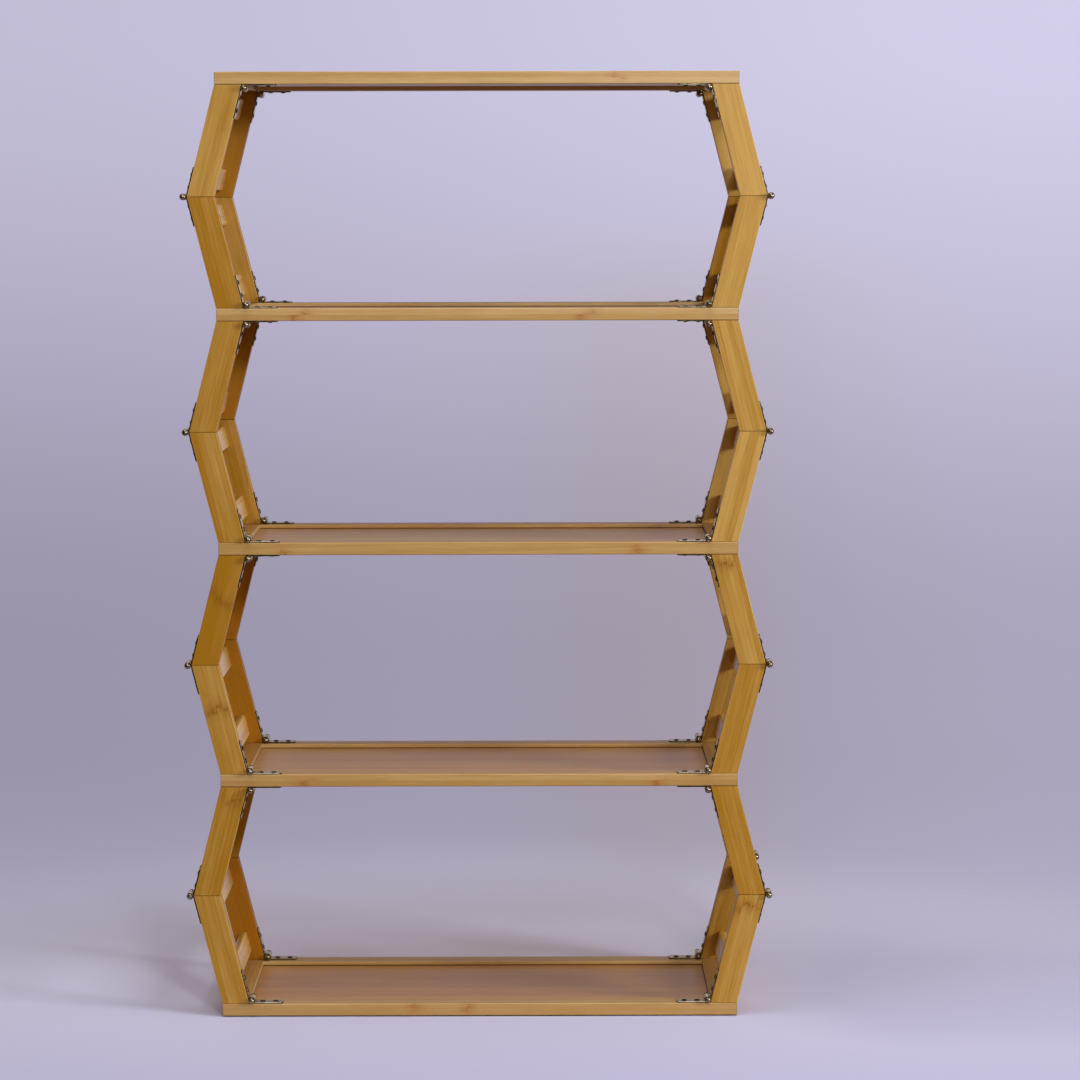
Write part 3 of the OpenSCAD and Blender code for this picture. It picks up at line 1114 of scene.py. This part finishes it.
class LeafPart:
    """A part of a leaf, made ring by ring, with its patina at each corner."""

    def __init__(self) -> None:
        """Starts without corners."""
        self.solid = bmesh.new()
        self.patina: list[tuple[float]] = []

    def ring(self, corners: Sequence[Sequence[float]], patina: Patina) -> Ring:
        """Adds a ring of corners with one patina."""
        self.patina += [(patina.value,)] * len(corners)
        return [self.solid.verts.new(corner) for corner in corners]

    def wall(self, lower: Ring, upper: Ring) -> None:
        """Joins two rings of as many corners by a wall."""
        pairs = [*zip(lower, upper)]
        for (near, above), (far, beyond) in zip(pairs, pairs[1:] + pairs[:1]):
            self.solid.faces.new((near, far, beyond, above))

    def sheet(self, *rings: Ring) -> None:
        """Fills the first ring, less the others inside it."""
        corners = [vert for ring in rings for vert in ring]
        for triple in tessellate_polygon([[vert.co for vert in ring] for ring in rings]):
            self.solid.faces.new([corners[index] for index in triple])

    def gather(self, into: Gathering, place: Matrix) -> None:
        """Closes the part and adds it to a mesh."""
        bmesh.ops.recalc_face_normals(self.solid, faces=self.solid.faces)
        self.solid.verts.index_update()
        into.add(self.solid, place, {"patina": self.patina})


@dataclass
class Hinge:
    """Small strap hinge: leaves with rolled knuckles, a ball-ended pin and oval head screws."""

    length: float = 30.0
    width: float = 14.0
    plate: float = 1.2
    corner: float = 2.5
    chamfer: float = 0.25
    knuckle: float = 6.4
    gap: float = 0.3
    side_gap: float = 0.2
    pin: float = 2.8
    neck: float = 0.4
    screw_places: Point = (10.0, 22.5)
    head: float = 5.0
    head_height: float = 1.0
    shank: float = 2.4
    grip: float = 5.0
    recess: Point = (0.7, 0.75)
    sides: int = 26
    corner_steps: int = 4
    hole_sides: int = 20
    dark_ring: float = 0.75
    head_play: float = 0.12
    shank_play: float = 0.1
    overlap: float = 0.15
    slit: Point = (0.12, 0.35)
    inner_reach: float = 0.9
    screw_patina: float = 0.9
    pin_patina: float = 0.6
    metal: bpy.types.Material | None = None
    screw_tree: ScrewTree | None = None
    pin_tree: PinTree | None = None

    def prepare(self) -> None:
        """Makes the metal and the geometry trees."""
        self.metal = BRONZE_FINISH.material()
        self.screw_tree = ScrewTree()
        self.pin_tree = PinTree()

    @property
    def knuckle_length(self) -> float:
        """Length of one knuckle."""
        return (self.width - 2 * self.side_gap) / 3

    @property
    def root(self) -> float:
        """Where the plate starts, clear of the other leaf's knuckles."""
        clear = self.knuckle / 2 + self.gap
        top = LAYOUT.pin_rise - self.plate
        spare = 0.02
        return math.sqrt(clear * clear - top * top) + spare

    def loop(self, inset: float) -> list[Point]:
        """Gives the plate's outline, square at the knuckles and rounded at the tip.

        Args:
            inset: How far in from the plate's edge.

        Returns:
            The points, anticlockwise seen from above.
        """
        left, right = self.root + inset, self.length - inset
        half, radius = self.width / 2 - inset, self.corner - inset
        points = [(left, half), (left, -half)]
        for way, start in ((-1, -90), (1, 0)):
            for step in range(self.corner_steps + 1):
                turn = math.radians(start + 90 * step / self.corner_steps)
                points.append((right - radius + radius * math.cos(turn),
                               way * (half - radius) + radius * math.sin(turn)))
        return points

    def circle(self, x: float, radius: float) -> list[Point]:
        """Gives a circle round a screw, anticlockwise."""
        turns = [math.tau * step / self.hole_sides for step in range(self.hole_sides)]
        return [(x + radius * math.cos(turn), radius * math.sin(turn)) for turn in turns]

    def plate_part(self) -> LeafPart:
        """Builds the flat of a leaf, with chamfered edges and countersunk holes.

        Returns:
            The part.
        """
        made = LeafPart()
        low = -LAYOUT.pin_rise
        high = low + self.plate

        def flat(points: Sequence[Point], z: float, patina: Patina) -> Ring:
            """Adds a level ring."""
            return made.ring([(x, y, z) for x, y in points], patina)

        base = flat(self.loop(0), low, Patina.FULL)
        rim = flat(self.loop(0), high - self.chamfer, Patina.RIM)
        top = flat(self.loop(self.chamfer), high, Patina.RUBBED)
        made.wall(base, rim)
        made.wall(rim, top)
        tops, bases = [top], [base]
        for x in self.screw_places:
            outer, edge, hole = (
                flat(self.circle(x, radius), z, patina) for radius, z, patina in (
                    (self.head / 2 + self.dark_ring, high, Patina.RUBBED),
                    (self.head / 2 + self.head_play, high, Patina.FULL),
                    (self.shank / 2 + self.shank_play, low, Patina.FULL)))
            made.wall(edge, outer)
            made.wall(hole, edge)
            tops.append(outer)
            bases.append(hole)
        made.sheet(*tops)
        made.sheet(*bases)
        return made

    def knuckle_part(self, place: float) -> LeafPart:
        """Builds one knuckle, rolled up from its strip of the plate.

        Args:
            place: Its middle along the pin.

        Returns:
            The part.
        """
        made = LeafPart()
        radius, rise, chamfer = self.knuckle / 2, LAYOUT.pin_rise, self.chamfer
        top = rise - self.plate
        reach = self.root + self.overlap
        half = self.knuckle_length / 2
        start = -math.asin(top / radius)
        opening, depth = self.slit
        first, last = start + opening, 3 * math.pi / 2
        turns = [first + (last - first) * step / self.sides for step in range(self.sides + 1)]
        rings = []
        for y, inset in ((-half, chamfer), (chamfer - half, 0), (half - chamfer, 0),
                         (half, chamfer)):
            size, upper = radius - inset, -top - inset
            points = [(size * math.cos(turn), size * math.sin(turn)) for turn in turns]
            points += [(self.inner_reach, inset - rise), (reach, inset - rise), (reach, upper),
                       ((size - depth) * math.cos(start), upper)]
            rings.append(made.ring([(x, place + y, z) for x, z in points],
                                   Patina.EDGE if inset else Patina.RUBBED))
            made.patina[-1] = (Patina.FULL.value,)
        for lower, upper in zip(rings, rings[1:]):
            made.wall(lower, upper)
        for ring in (rings[0], rings[-1]):
            made.solid.faces.new(ring)
        return made

    def gather_leaf(self, into: Gathering, place: Matrix, kind: Knuckles) -> None:
        """Adds one leaf to a mesh.

        Args:
            into: The mesh.
            place: The leaf's frame.
            kind: Which knuckles it carries.
        """
        pitch = self.knuckle_length + self.side_gap
        for part in (self.plate_part(), *(self.knuckle_part(step * pitch) for step in kind.value)):
            part.gather(into, place)

    def gather_screws(self, into: Gathering, places: Sequence[Matrix], seed: int) -> None:
        """Adds two screws for every leaf.

        Args:
            into: The mesh.
            places: The leaves' frames.
            seed: Seed of the screws' turns.
        """
        level = self.plate - LAYOUT.pin_rise
        stands = [(place @ Vector((x, 0, level)), pointed(place, Z_AXIS))
                  for place in places for x in self.screw_places]
        width, depth = self.recess
        mesh = self.screw_tree.mesh(stands, {
            "Head Width": self.head, "Head Height": self.head_height, "Shank Width": self.shank,
            "Plate": self.plate, "Grip": self.grip, "Recess Width": width,
            "Recess Depth": depth}, {"Seed": seed, "Material": self.metal})
        self.gather_bare(into, mesh, self.screw_patina)

    def gather_pins(self, into: Gathering, places: Sequence[Matrix]) -> None:
        """Adds a pin at every place.

        Args:
            into: The mesh.
            places: The leaves' frames, whose Y is the pin's axis.
        """
        stands = [(place.to_translation(), pointed(place, Y_AXIS)) for place in places]
        mesh = self.pin_tree.mesh(stands, {
            "Pin Width": self.pin, "Neck Width": (self.pin + self.knuckle) / 2,
            "Ball Width": self.knuckle,
            "Ball Place": self.width / 2 + self.neck + self.knuckle / 2}, {"Material": self.metal})
        self.gather_bare(into, mesh, self.pin_patina)

    @staticmethod
    def gather_bare(into: Gathering, mesh: bpy.types.Mesh, patina: float) -> None:
        """Adds a made mesh with one patina all over.

        Args:
            into: The mesh to add to.
            mesh: The made mesh.
            patina: Its patina, 0 to 1.
        """
        made = mesh.attributes.new("patina", "FLOAT", "POINT")
        made.data.foreach_set("value", [patina] * len(mesh.vertices))
        into.add_mesh(mesh, Matrix.Identity(4), ["patina"])


def pointed(place: Matrix, axis: Vector) -> Vector:
    """Gives an axis as a place turns it."""
    return (place.to_3x3() @ axis).normalized()


class Assembly:
    """What the shelves and side frames share: how their pieces are named and handed in."""

    def body(self) -> str:
        """Gives the body's name, which is also the start of its pieces' names."""
        raise NotImplementedError

    def start(self, word: str, material: bpy.types.Material) -> Gathering:
        """Starts the mesh of a piece, given the piece's own word."""
        return Gathering(f"{self.body()}_{word}_dressed", material)

    def hand_in(self, word: str, piece: bpy.types.Object, slot: str) -> None:
        """Hands a finished piece to the frame.

        Args:
            word: The piece's own word.
            piece: The piece.
            slot: Not used.
        """
        body = self.body()
        nodes = [f"{body}_{word}"]
        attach(piece, body)
        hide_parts(*nodes)
        LOG.info("%s: %d faces on %s", piece.name, len(piece.data.polygons), body)


@dataclass(frozen=True)
class ShelfLook:
    """A shelf's look: tones of its rails and board, darkness of its painted shade strips, and its
    front nodes.
    """

    rails: float
    board: float = 0.0
    bead: float = 1.0
    marks: tuple[Mark, ...] = ()


# Boards of shelves 2 and 3 are paler, to paint the sheen of light grazing them.
SHELF_LOOKS: dict[int, ShelfLook] = {
    1: ShelfLook(0.09, 0.05, 1.0, (Mark(-63, 0, 2, 4.5), Mark(-10, 0, 1, 5.5))),
    2: ShelfLook(0.24, -0.35, 0.7, (Mark(-166, 0, -3, 4.5), Mark(175, 0, -3, 4.0))),
    3: ShelfLook(0.14, -0.7, 0.9, (Mark(-190, 0, -5, 5.0), Mark(151, 0, -1, 5.0))),
    4: ShelfLook(-0.16, 0.0, 0.1, (Mark(-170, 0, -1, 6.0), Mark(104, 0, -1, 6.0))),
    5: ShelfLook(-0.26, 0.0, 1.0, (Mark(137, 0, 1, 3.5),)),
}


@dataclass
class Shelf(Assembly):
    """A shelf: long rails and end rails round a recessed board, with its hinge leaves."""

    level: int
    hinge: Hinge
    rail_wood: bpy.types.Material
    board_wood: bpy.types.Material
    board: float = 4.0
    groove: float = 6.0
    # Dark strips on the board's rim, painted as the shade in the gap along the rails.
    bead: float = 0.8
    bead_width: float = 0.6
    rounding: float = 0.8
    # How darkly the rails' down-facing roundings are painted, as shade beneath them.
    under: float = 0.75
    end_tone: float = 0.15
    end_rounding: float = 0.12
    board_rounding: float = 0.2
    bead_rounding: float = 0.05

    def body(self) -> str:
        """Gives the shelf's body."""
        return f"shelf_{self.level}"

    @property
    def look(self) -> ShelfLook:
        """The shelf's own look."""
        return SHELF_LOOKS[self.level]

    @property
    def place(self) -> Matrix:
        """The matrix from the bottom shelf to this one."""
        return LAYOUT.shelf_place(self.level)

    def long_rails(self) -> bpy.types.Object:
        """Builds the front and back rail.

        Returns:
            The piece.
        """
        made = self.start("long_rails", self.rail_wood)
        middle = LAYOUT.shelf / 2
        outline = rectangle(0, middle, LAYOUT.width, LAYOUT.shelf)
        for y in (-1, 1):
            centre = y * (LAYOUT.depth - LAYOUT.rail) / 2
            grain = grain_frame(Vector((0, y * LAYOUT.depth / 2, middle)), X_AXIS, Y_AXIS)
            bar = Bar(outline, centre - LAYOUT.rail / 2, centre + LAYOUT.rail / 2, grain,
                      edge=self.rounding, under=self.under)
            marks = self.look.marks if y < 0 else spare_marks(made.dice, LAYOUT.width / 2)
            bar.gather(made, self.place, RAIL_FINISH, marks, self.look.rails)
        return made.piece()

    def end_rails(self) -> bpy.types.Object:
        """Builds the two end rails, which butt against the long ones.

        Returns:
            The piece.
        """
        made = self.start("end_rails", self.rail_wood)
        middle, half = LAYOUT.shelf / 2, LAYOUT.well[1]
        for x in (-1, 1):
            centre = x * (LAYOUT.width - LAYOUT.rail) / 2
            grain = grain_frame(Vector((x * LAYOUT.width / 2, 0, middle)), Y_AXIS, X_AXIS)
            bar = Bar(rectangle(centre, middle, LAYOUT.rail, LAYOUT.shelf), -half, half, grain,
                      end=self.end_rounding)
            bar.gather(made, self.place, RAIL_FINISH, tone=self.look.rails + self.end_tone)
        return made.piece()

    def panel(self) -> bpy.types.Object:
        """Builds the board, whose edges stand in the rails' grooves, and its painted shade strips.

        Returns:
            The piece.
        """
        made = self.start("board", self.board_wood)
        reach = 2 * (self.groove - LAYOUT.rail)
        half = (LAYOUT.depth + reach) / 2
        middle = LAYOUT.shelf / 2
        bar = Bar(rectangle(0, middle, LAYOUT.width + reach, self.board), -half, half,
                  grain_frame(Vector((0, 0, middle)), X_AXIS, Y_AXIS),
                  edge=self.board_rounding, end=self.board_rounding)
        bar.gather(made, self.place, BOARD_FINISH, tone=self.look.board)
        # Dark strips that paint the shade along the rails.
        for bead in self.shadow_beads():
            bead.gather(made, self.place, BOARD_FINISH, painted_shade=self.look.bead)
        return made.piece()

    def shadow_beads(self) -> Iterator[Bar]:
        """Lays a dark strip on the board along all rails but the left one, as painted shade in the
        gap.

        Yields:
            Each of its three sides.
        """
        wide, deep = LAYOUT.well
        thick = self.bead_width
        for x, y, size, half in ((0.0, -deep, 2 * wide, thick / 2),
                                 (0.0, deep, 2 * wide, thick / 2), (wide, 0.0, thick, deep)):
            outline = rectangle(x, (LAYOUT.shelf + self.board + self.bead) / 2, size, self.bead)
            yield Bar(outline, y - half, y + half, grain_frame(Vector(), X_AXIS, Y_AXIS),
                      edge=self.bead_rounding, end=self.bead_rounding)

    def build(self) -> None:
        """Builds every piece of the shelf and hands it to the frame."""
        for word, slot, piece in (("long_rails", "bamboo_rails", self.long_rails()),
                                  ("end_rails", "bamboo_rails", self.end_rails()),
                                  ("board", "bamboo_board", self.panel())):
            self.hand_in(word, piece, slot)
        places = LAYOUT.shelf_leaves(self.level)
        hinges = self.start("hinges", self.hinge.metal)
        for place in places:
            self.hinge.gather_leaf(hinges, place, Knuckles.OUTER)
        self.hinge.gather_pins(hinges, places)
        self.hand_in("hinges", hinges.piece(), "hinge_bronze")
        screws = self.start("screws", self.hinge.metal)
        self.hinge.gather_screws(screws, places, self.level)
        self.hand_in("screws", screws.piece(), "screw_bronze")


@dataclass(frozen=True)
class FrameLook:
    """A side frame's own look: tones of its front and back stile, and its front nodes."""

    front: float
    back: float
    marks: tuple[Mark, ...] = ()


# Back tones above 0.9, all on the left back stiles, mix in the shaded colours as painted shade.
FRAME_LOOKS: dict[tuple[int, Side, Half], FrameLook] = {
    (1, Side.LEFT, Half.LOWER): FrameLook(0.3, 1.35),
    (1, Side.LEFT, Half.UPPER): FrameLook(0.25, 1.2, (Mark(18, 8, 0, 12),)),
    (1, Side.RIGHT, Half.LOWER): FrameLook(0.25, 0.3, (Mark(98, 12, 0, 18),)),
    (1, Side.RIGHT, Half.UPPER): FrameLook(0.4, 0.2),
    (2, Side.LEFT, Half.LOWER): FrameLook(0.05, 1.3, (Mark(70, 12, 0, 18),)),
    (2, Side.LEFT, Half.UPPER): FrameLook(0.75, 1.4, (Mark(46, 12, 0, 18),)),
    (2, Side.RIGHT, Half.LOWER): FrameLook(0.2, 0.0),
    (2, Side.RIGHT, Half.UPPER): FrameLook(-0.05, 0.0, (Mark(12, 12, 0, 16),)),
    (3, Side.LEFT, Half.LOWER): FrameLook(0.25, 0.3),
    (3, Side.LEFT, Half.UPPER): FrameLook(0.15, 1.25),
    (3, Side.RIGHT, Half.LOWER): FrameLook(-0.15, -0.4),
    (3, Side.RIGHT, Half.UPPER): FrameLook(0.0, -0.1),
    (4, Side.LEFT, Half.LOWER): FrameLook(0.35, -0.1),
    (4, Side.LEFT, Half.UPPER): FrameLook(-0.05, 1.15),
    (4, Side.RIGHT, Half.LOWER): FrameLook(-0.15, 0.45),
    (4, Side.RIGHT, Half.UPPER): FrameLook(-0.4, -0.6),
}


@dataclass
class SideFrame(Assembly):
    """A side frame: two stiles joined by cross slats, with its hinge leaves and screws."""

    tier: int
    side: Side
    half: Half
    hinge: Hinge
    wood: bpy.types.Material
    ladder: LadderTree
    slats: int = 2
    slat_width: float = 22.0
    slat_thickness: float = 8.0
    slat_gap: float = 7.5
    slat_rounding: float = 2.4
    slat_end: float = 0.1
    # Slats are made paler to paint the light reflected off their faces.
    slat_tone: float = -0.25
    slat_polish: float = 0.9
    set_in: float = 6.0
    sunk: float = 0.2
    first_seed: int = 40

    def body(self) -> str:
        """Gives the frame's body."""
        return f"tier_{self.tier}_{self.side.name.lower()}_{self.half.name.lower()}"

    def seed(self) -> int:
        """Gives a number of this frame's own."""
        return 4 * self.tier + (self.side is Side.RIGHT) + 2 * (self.half is Half.UPPER)

    def stile(self, y: int) -> Bar:
        """Builds a stile of the left lower frame.

        Args:
            y: 1 for the back stile, -1 for the front one.

        Returns:
            The bar, cut level at both ends.
        """
        inner, left, base = LAYOUT.inner, -LAYOUT.width / 2, LAYOUT.shelf
        outline = [(left, base), (inner, base), (inner - LAYOUT.bulge, LAYOUT.middle),
                   (left - LAYOUT.bulge, LAYOUT.middle)]
        centre, half = y * LAYOUT.stile_y, LAYOUT.stile_depth / 2
        grain = grain_frame(Vector((inner, y * LAYOUT.depth / 2, base)), LAYOUT.up_stile,
                            LAYOUT.off_stile)
        return Bar(outline, centre - half, centre + half, grain)

    def slat_object(self) -> bpy.types.Object:
        """Builds one slat about the origin, for the ladder to repeat.

        Returns:
            The slat, in metres.
        """
        half = LAYOUT.depth / 2 - LAYOUT.stile_depth + self.sunk
        bar = Bar(rectangle(0, 0, self.slat_thickness, self.slat_width), -half, half,
                  grain_frame(Vector(), Y_AXIS, Z_AXIS), edge=self.slat_rounding,
                  end=self.slat_end, polish=self.slat_polish)
        gathering = Gathering("slat", self.wood)
        bar.gather(gathering, Matrix.Identity(4), STILE_FINISH, tone=self.slat_tone)
        return gathering.piece()

    def ladder_mesh(self) -> bpy.types.Mesh:
        """Runs the ladder of slats for the left lower frame.

        Returns:
            The mesh, in metres.
        """
        up, off = LAYOUT.up_stile, LAYOUT.off_stile
        depth = LAYOUT.stile_width - self.set_in - self.slat_thickness / 2
        length = LAYOUT.clear / 2 / math.cos(LAYOUT.lean)
        rise = depth * math.tan(LAYOUT.lean)
        edge = self.slat_gap + self.slat_width / 2
        first = Vector((LAYOUT.inner, 0, LAYOUT.shelf)) + off * depth + up * (rise + edge)
        step = up * ((length - 2 * edge) / (self.slats - 1))
        slat = self.slat_object()
        mesh = self.ladder.mesh([(Vector(), Z_AXIS)], {}, {
            "Slat": slat, "Count": self.slats, "First": first * MM, "Step": step * MM,
            "Lean": -LAYOUT.lean, "Strip": (1.0, *STILE_FINISH.strip), "Seed": self.seed(),
            "Material": self.wood})
        remove(slat)
        return mesh

    def build(self) -> None:
        """Builds both pieces of the side frame and hands them to the frame."""
        place = LAYOUT.frame_place(self.tier, self.side, self.half)
        look = FRAME_LOOKS[self.tier, self.side, self.half]
        wood = self.start("frame", self.wood)
        spare = spare_marks(wood.dice, LAYOUT.clear / 4, LAYOUT.clear / 4)
        for y, marks, tone in ((-1, look.marks, look.front), (1, spare, look.back)):
            self.stile(y).gather(wood, place, STILE_FINISH, marks, tone)
        wood.add_mesh(self.ladder_mesh(), place, BAR_ATTRIBUTES)
        self.hand_in("frame", wood.piece(), "bamboo_frames")

        metal = self.start("hinges", self.hinge.metal)
        inner, outer = ([place @ leaf for leaf in leaves] for leaves in LAYOUT.frame_leaves())
        outer_kind = Knuckles.OUTER if self.half is Half.LOWER else Knuckles.MIDDLE
        for leaves, kind in ((inner, Knuckles.MIDDLE), (outer, outer_kind)):
            for leaf in leaves:
                self.hinge.gather_leaf(metal, leaf, kind)
        self.hinge.gather_screws(metal, inner + outer, self.first_seed + self.seed())
        if self.half is Half.LOWER:
            self.hinge.gather_pins(metal, outer)
        self.hand_in("hinges", metal.piece(), "hinge_bronze")


@dataclass(frozen=True)
class Lamp:
    """A soft box: where it stands and what it faces in metres, its sides, watts and colour."""

    name: str
    place: Place
    aim: Place
    size: Point
    power: float
    tint: Colour

    def build(self) -> None:
        """Adds the lamp to the scene."""
        light = bpy.data.lights.new(self.name, "AREA")
        light.shape = "RECTANGLE"
        light.size, light.size_y = self.size
        light.energy = self.power
        light.color = self.tint[:3]
        made = linked(self.name, light)
        made.location = self.place
        aimed = Vector(self.aim) - Vector(self.place)
        made.rotation_euler = aimed.to_track_quat("-Z", "Y").to_euler()


LAMPS = (
    Lamp("key", (0.42, -2.6, 1.32), (0.0, 0.0, 1.0), (0.26, 0.26), 21.0, srgb(255, 252, 250)),
    Lamp("side", (3.0, -1.75, 1.35), (0.0, 0.0, 1.1), (1.0, 1.0), 82.0, srgb(255, 252, 250)),
    Lamp("overhead", (-0.15, -0.8, 3.1), (0.0, 0.0, 0.2), (2.2, 1.6), 38.0, srgb(246, 246, 255)),
)


@dataclass
class Floor:
    """Pale floor, in metres, which fades into the backdrop away from the rack, painted darker
    towards the front and with a soft painted shadow to the right of the rack.
    """

    colour: Colour = srgb(215, 217, 249)
    # Painted shade: the floor darkens towards the front and in a soft patch to the right of the
    # rack.
    shade_colour: Colour = srgb(194, 196, 232)
    radius: float = 1.0
    fade: Ramp = Ramp(0.4, 1.0, smooth=True)
    gap: float = 0.001
    near: Ramp = Ramp(0.0, -0.45)
    beside_shadow: Ramp = Ramp(0.18, 0.4, 0.0, 1.3)
    beside_shadow_width: float = 0.3
    roughness: float = 0.7
    sides: int = 96

    def material(self) -> bpy.types.Material:
        """Builds the floor's material.

        Returns:
            The material.
        """
        made, graph = new_material("studio_floor")
        place = graph.place()
        x, y = graph.parts(place)[:2]
        # Painted shadow to the right of the rack, and painted shade towards the front.
        beside_shadow = graph.times(graph.span(x, self.beside_shadow), graph.bell(y, self.beside_shadow_width))
        near = graph.math("MAXIMUM", graph.span(y, self.near), beside_shadow)
        surface = graph.add("ShaderNodeBsdfPrincipled", {
            "Base Color": graph.mix(near, self.colour, self.shade_colour),
            "Roughness": self.roughness})
        clear = graph.add("ShaderNodeBsdfTransparent")
        mixed = graph.add("ShaderNodeMixShader", {
            0: graph.span(graph.length(place), self.fade), 1: surface.outputs[0],
            2: clear.outputs[0]})
        graph.add("ShaderNodeOutputMaterial", {0: mixed.outputs[0]})
        return made

    def build(self) -> None:
        """Builds the floor."""
        mesh = bpy.data.meshes.new("floor")
        solid = bmesh.new()
        bmesh.ops.create_circle(solid, cap_ends=True, segments=self.sides, radius=self.radius,
                                matrix=Matrix.Translation((0, 0, -self.gap)))
        solid.to_mesh(mesh)
        solid.free()
        made = linked("floor", mesh)
        mesh.materials.append(self.material())


@dataclass
class Backdrop:
    """The world: a graded backdrop to look at, and the room's own even light.

    Ramps named after X, Y and rise go by those parts of the view's direction. The colours that the
    camera sees paint the light and shade on the backdrop: a dim band below the horizon, paler
    under and over it, darker to the left and lighter to the right, and warmer and darker below the
    horizon behind the rack.
    """

    low: Colour = srgb(196, 191, 217)
    dim: Colour = srgb(163, 157, 180)
    high: Colour = srgb(205, 200, 226)
    dim_rise: Ramp = Ramp(-0.24, -0.14, smooth=True)
    high_rise: Ramp = Ramp(-0.12, 0.05, smooth=True)
    blush: Place = (0.965, 0.93, 0.85)
    blush_rise: Ramp = Ramp(-0.03, 0.0, 1.0, 0.0, smooth=True)
    blush_x: Point = (0.035, 0.045)
    left_level: float = 0.885
    right_x: Ramp = Ramp(-0.15, 0.15, smooth=True)
    right_rise: Ramp = Ramp(-0.2, -0.13, 0.125, 0.225, smooth=True)
    right_loss: Ramp = Ramp(-0.06, 0.02, 0.0, 0.03, smooth=True)
    ceiling: Colour = srgb(128, 120, 114)
    ceiling_rise: Ramp = Ramp(0.06, 0.34, smooth=True)
    front: Colour = srgb(84, 74, 66)
    front_y: Ramp = Ramp(0.3, -0.2, smooth=True)
    room: Colour = srgb(238, 214, 188)
    room_y: Ramp = Ramp(-0.3, 0.3, 0.24, 0.46, smooth=True)

    def colour(self, graph: Graph, way: Sequence[Link], unseen: Link) -> Link:
        """Builds the backdrop's colour.

        Args:
            graph: The world's nodes.
            way: The parts of the view's direction.
            unseen: 1 where the backdrop is only mirrored, and 0 where the camera sees it.

        Returns:
            The colour.
        """
        x, y, rise = way
        colour = graph.mix(graph.span(rise, self.dim_rise), self.low, self.dim)
        colour = graph.mix(graph.span(rise, self.high_rise), colour, self.high)
        middle, width = self.blush_x
        blush = graph.times(graph.span(rise, self.blush_rise),
                            graph.bell(graph.math("SUBTRACT", x, middle), width))
        colour = graph.mix(blush, colour, graph.vector("MULTIPLY", colour, self.blush))
        for share, tint in ((graph.span(rise, self.ceiling_rise), self.ceiling),
                            (graph.span(y, self.front_y), self.front)):
            colour = graph.mix(graph.times(share, unseen), colour, tint)
        return colour

    def build(self) -> None:
        """Builds the world."""
        world = bpy.data.worlds.new("studio")
        world.use_nodes = True
        bpy.context.scene.world = world
        graph = Graph(world.node_tree)
        way = graph.parts(graph.add("ShaderNodeTexCoord").outputs["Generated"])
        x, y, rise = way
        ray = graph.add("ShaderNodeLightPath").outputs
        seen = ray["Is Camera Ray"]
        colour = self.colour(graph, way, graph.math("SUBTRACT", 1.0, seen))
        gain = graph.math("SUBTRACT", graph.span(rise, self.right_rise),
                          graph.span(rise, self.right_loss))
        level = graph.math("MULTIPLY_ADD", gain, graph.span(x, self.right_x), self.left_level)
        shown = graph.add("ShaderNodeBackground", {"Color": colour, "Strength": level})
        room = graph.add("ShaderNodeBackground", {
            "Color": self.room, "Strength": graph.span(y, self.room_y)})
        direct = graph.math("MAXIMUM", seen, graph.math(
            "MAXIMUM", ray["Is Glossy Ray"], ray["Is Transmission Ray"]))
        mixed = graph.add("ShaderNodeMixShader", {0: direct, 1: room.outputs[0],
                                                  2: shown.outputs[0]})
        graph.add("ShaderNodeOutputWorld", {0: mixed.outputs[0]})


@dataclass
class Camera:
    """The photograph's viewpoint, for a square frame."""

    place: Place = (0.0546, -3.7317, 0.7848)
    focal: float = 125.85
    sensor: float = 36.0
    pitch: float = 0.08843
    yaw: float = -0.00131
    roll: float = -0.00207

    def build(self) -> None:
        """Adds the camera and makes it the scene's."""
        data = bpy.data.cameras.new("camera")
        data.lens, data.sensor_width = self.focal, self.sensor
        made = linked("camera", data)
        yaw, pitch, roll = (Matrix.Rotation(angle, 3, axis) for angle, axis in (
            (self.yaw, "Z"), (math.pi / 2 - self.pitch, "X"), (self.roll, "Z")))
        made.matrix_world = Matrix.Translation(self.place) @ (yaw @ pitch @ roll).to_4x4()
        bpy.context.scene.camera = made


@dataclass
class Rack:
    """The whole rack."""

    hinge: Hinge = field(default_factory=Hinge)

    def build(self) -> None:
        """Builds the shelves from the floor up, and the side frames of each tier."""
        self.hinge.prepare()
        rail, board, stile = (finish.material()
                              for finish in (RAIL_FINISH, BOARD_FINISH, STILE_FINISH))
        ladder = LadderTree()
        for level in range(1, LAYOUT.tiers + 2):
            Shelf(level, self.hinge, rail, board).build()
        for tier in range(1, LAYOUT.tiers + 1):
            for side in Side:
                for half in Half:
                    SideFrame(tier, side, half, self.hinge, stile, ladder).build()


def main() -> None:
    """Builds the studio and the rack."""
    logging.basicConfig(level=logging.INFO, format="%(name)s: %(message)s")
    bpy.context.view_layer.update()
    bpy.context.scene.view_settings.view_transform = "Standard"
    for part in (Camera(), Floor(), Backdrop(), *LAMPS, Rack()):
        part.build()
    bpy.context.view_layer.update()


if __name__ == "__main__":
    main()
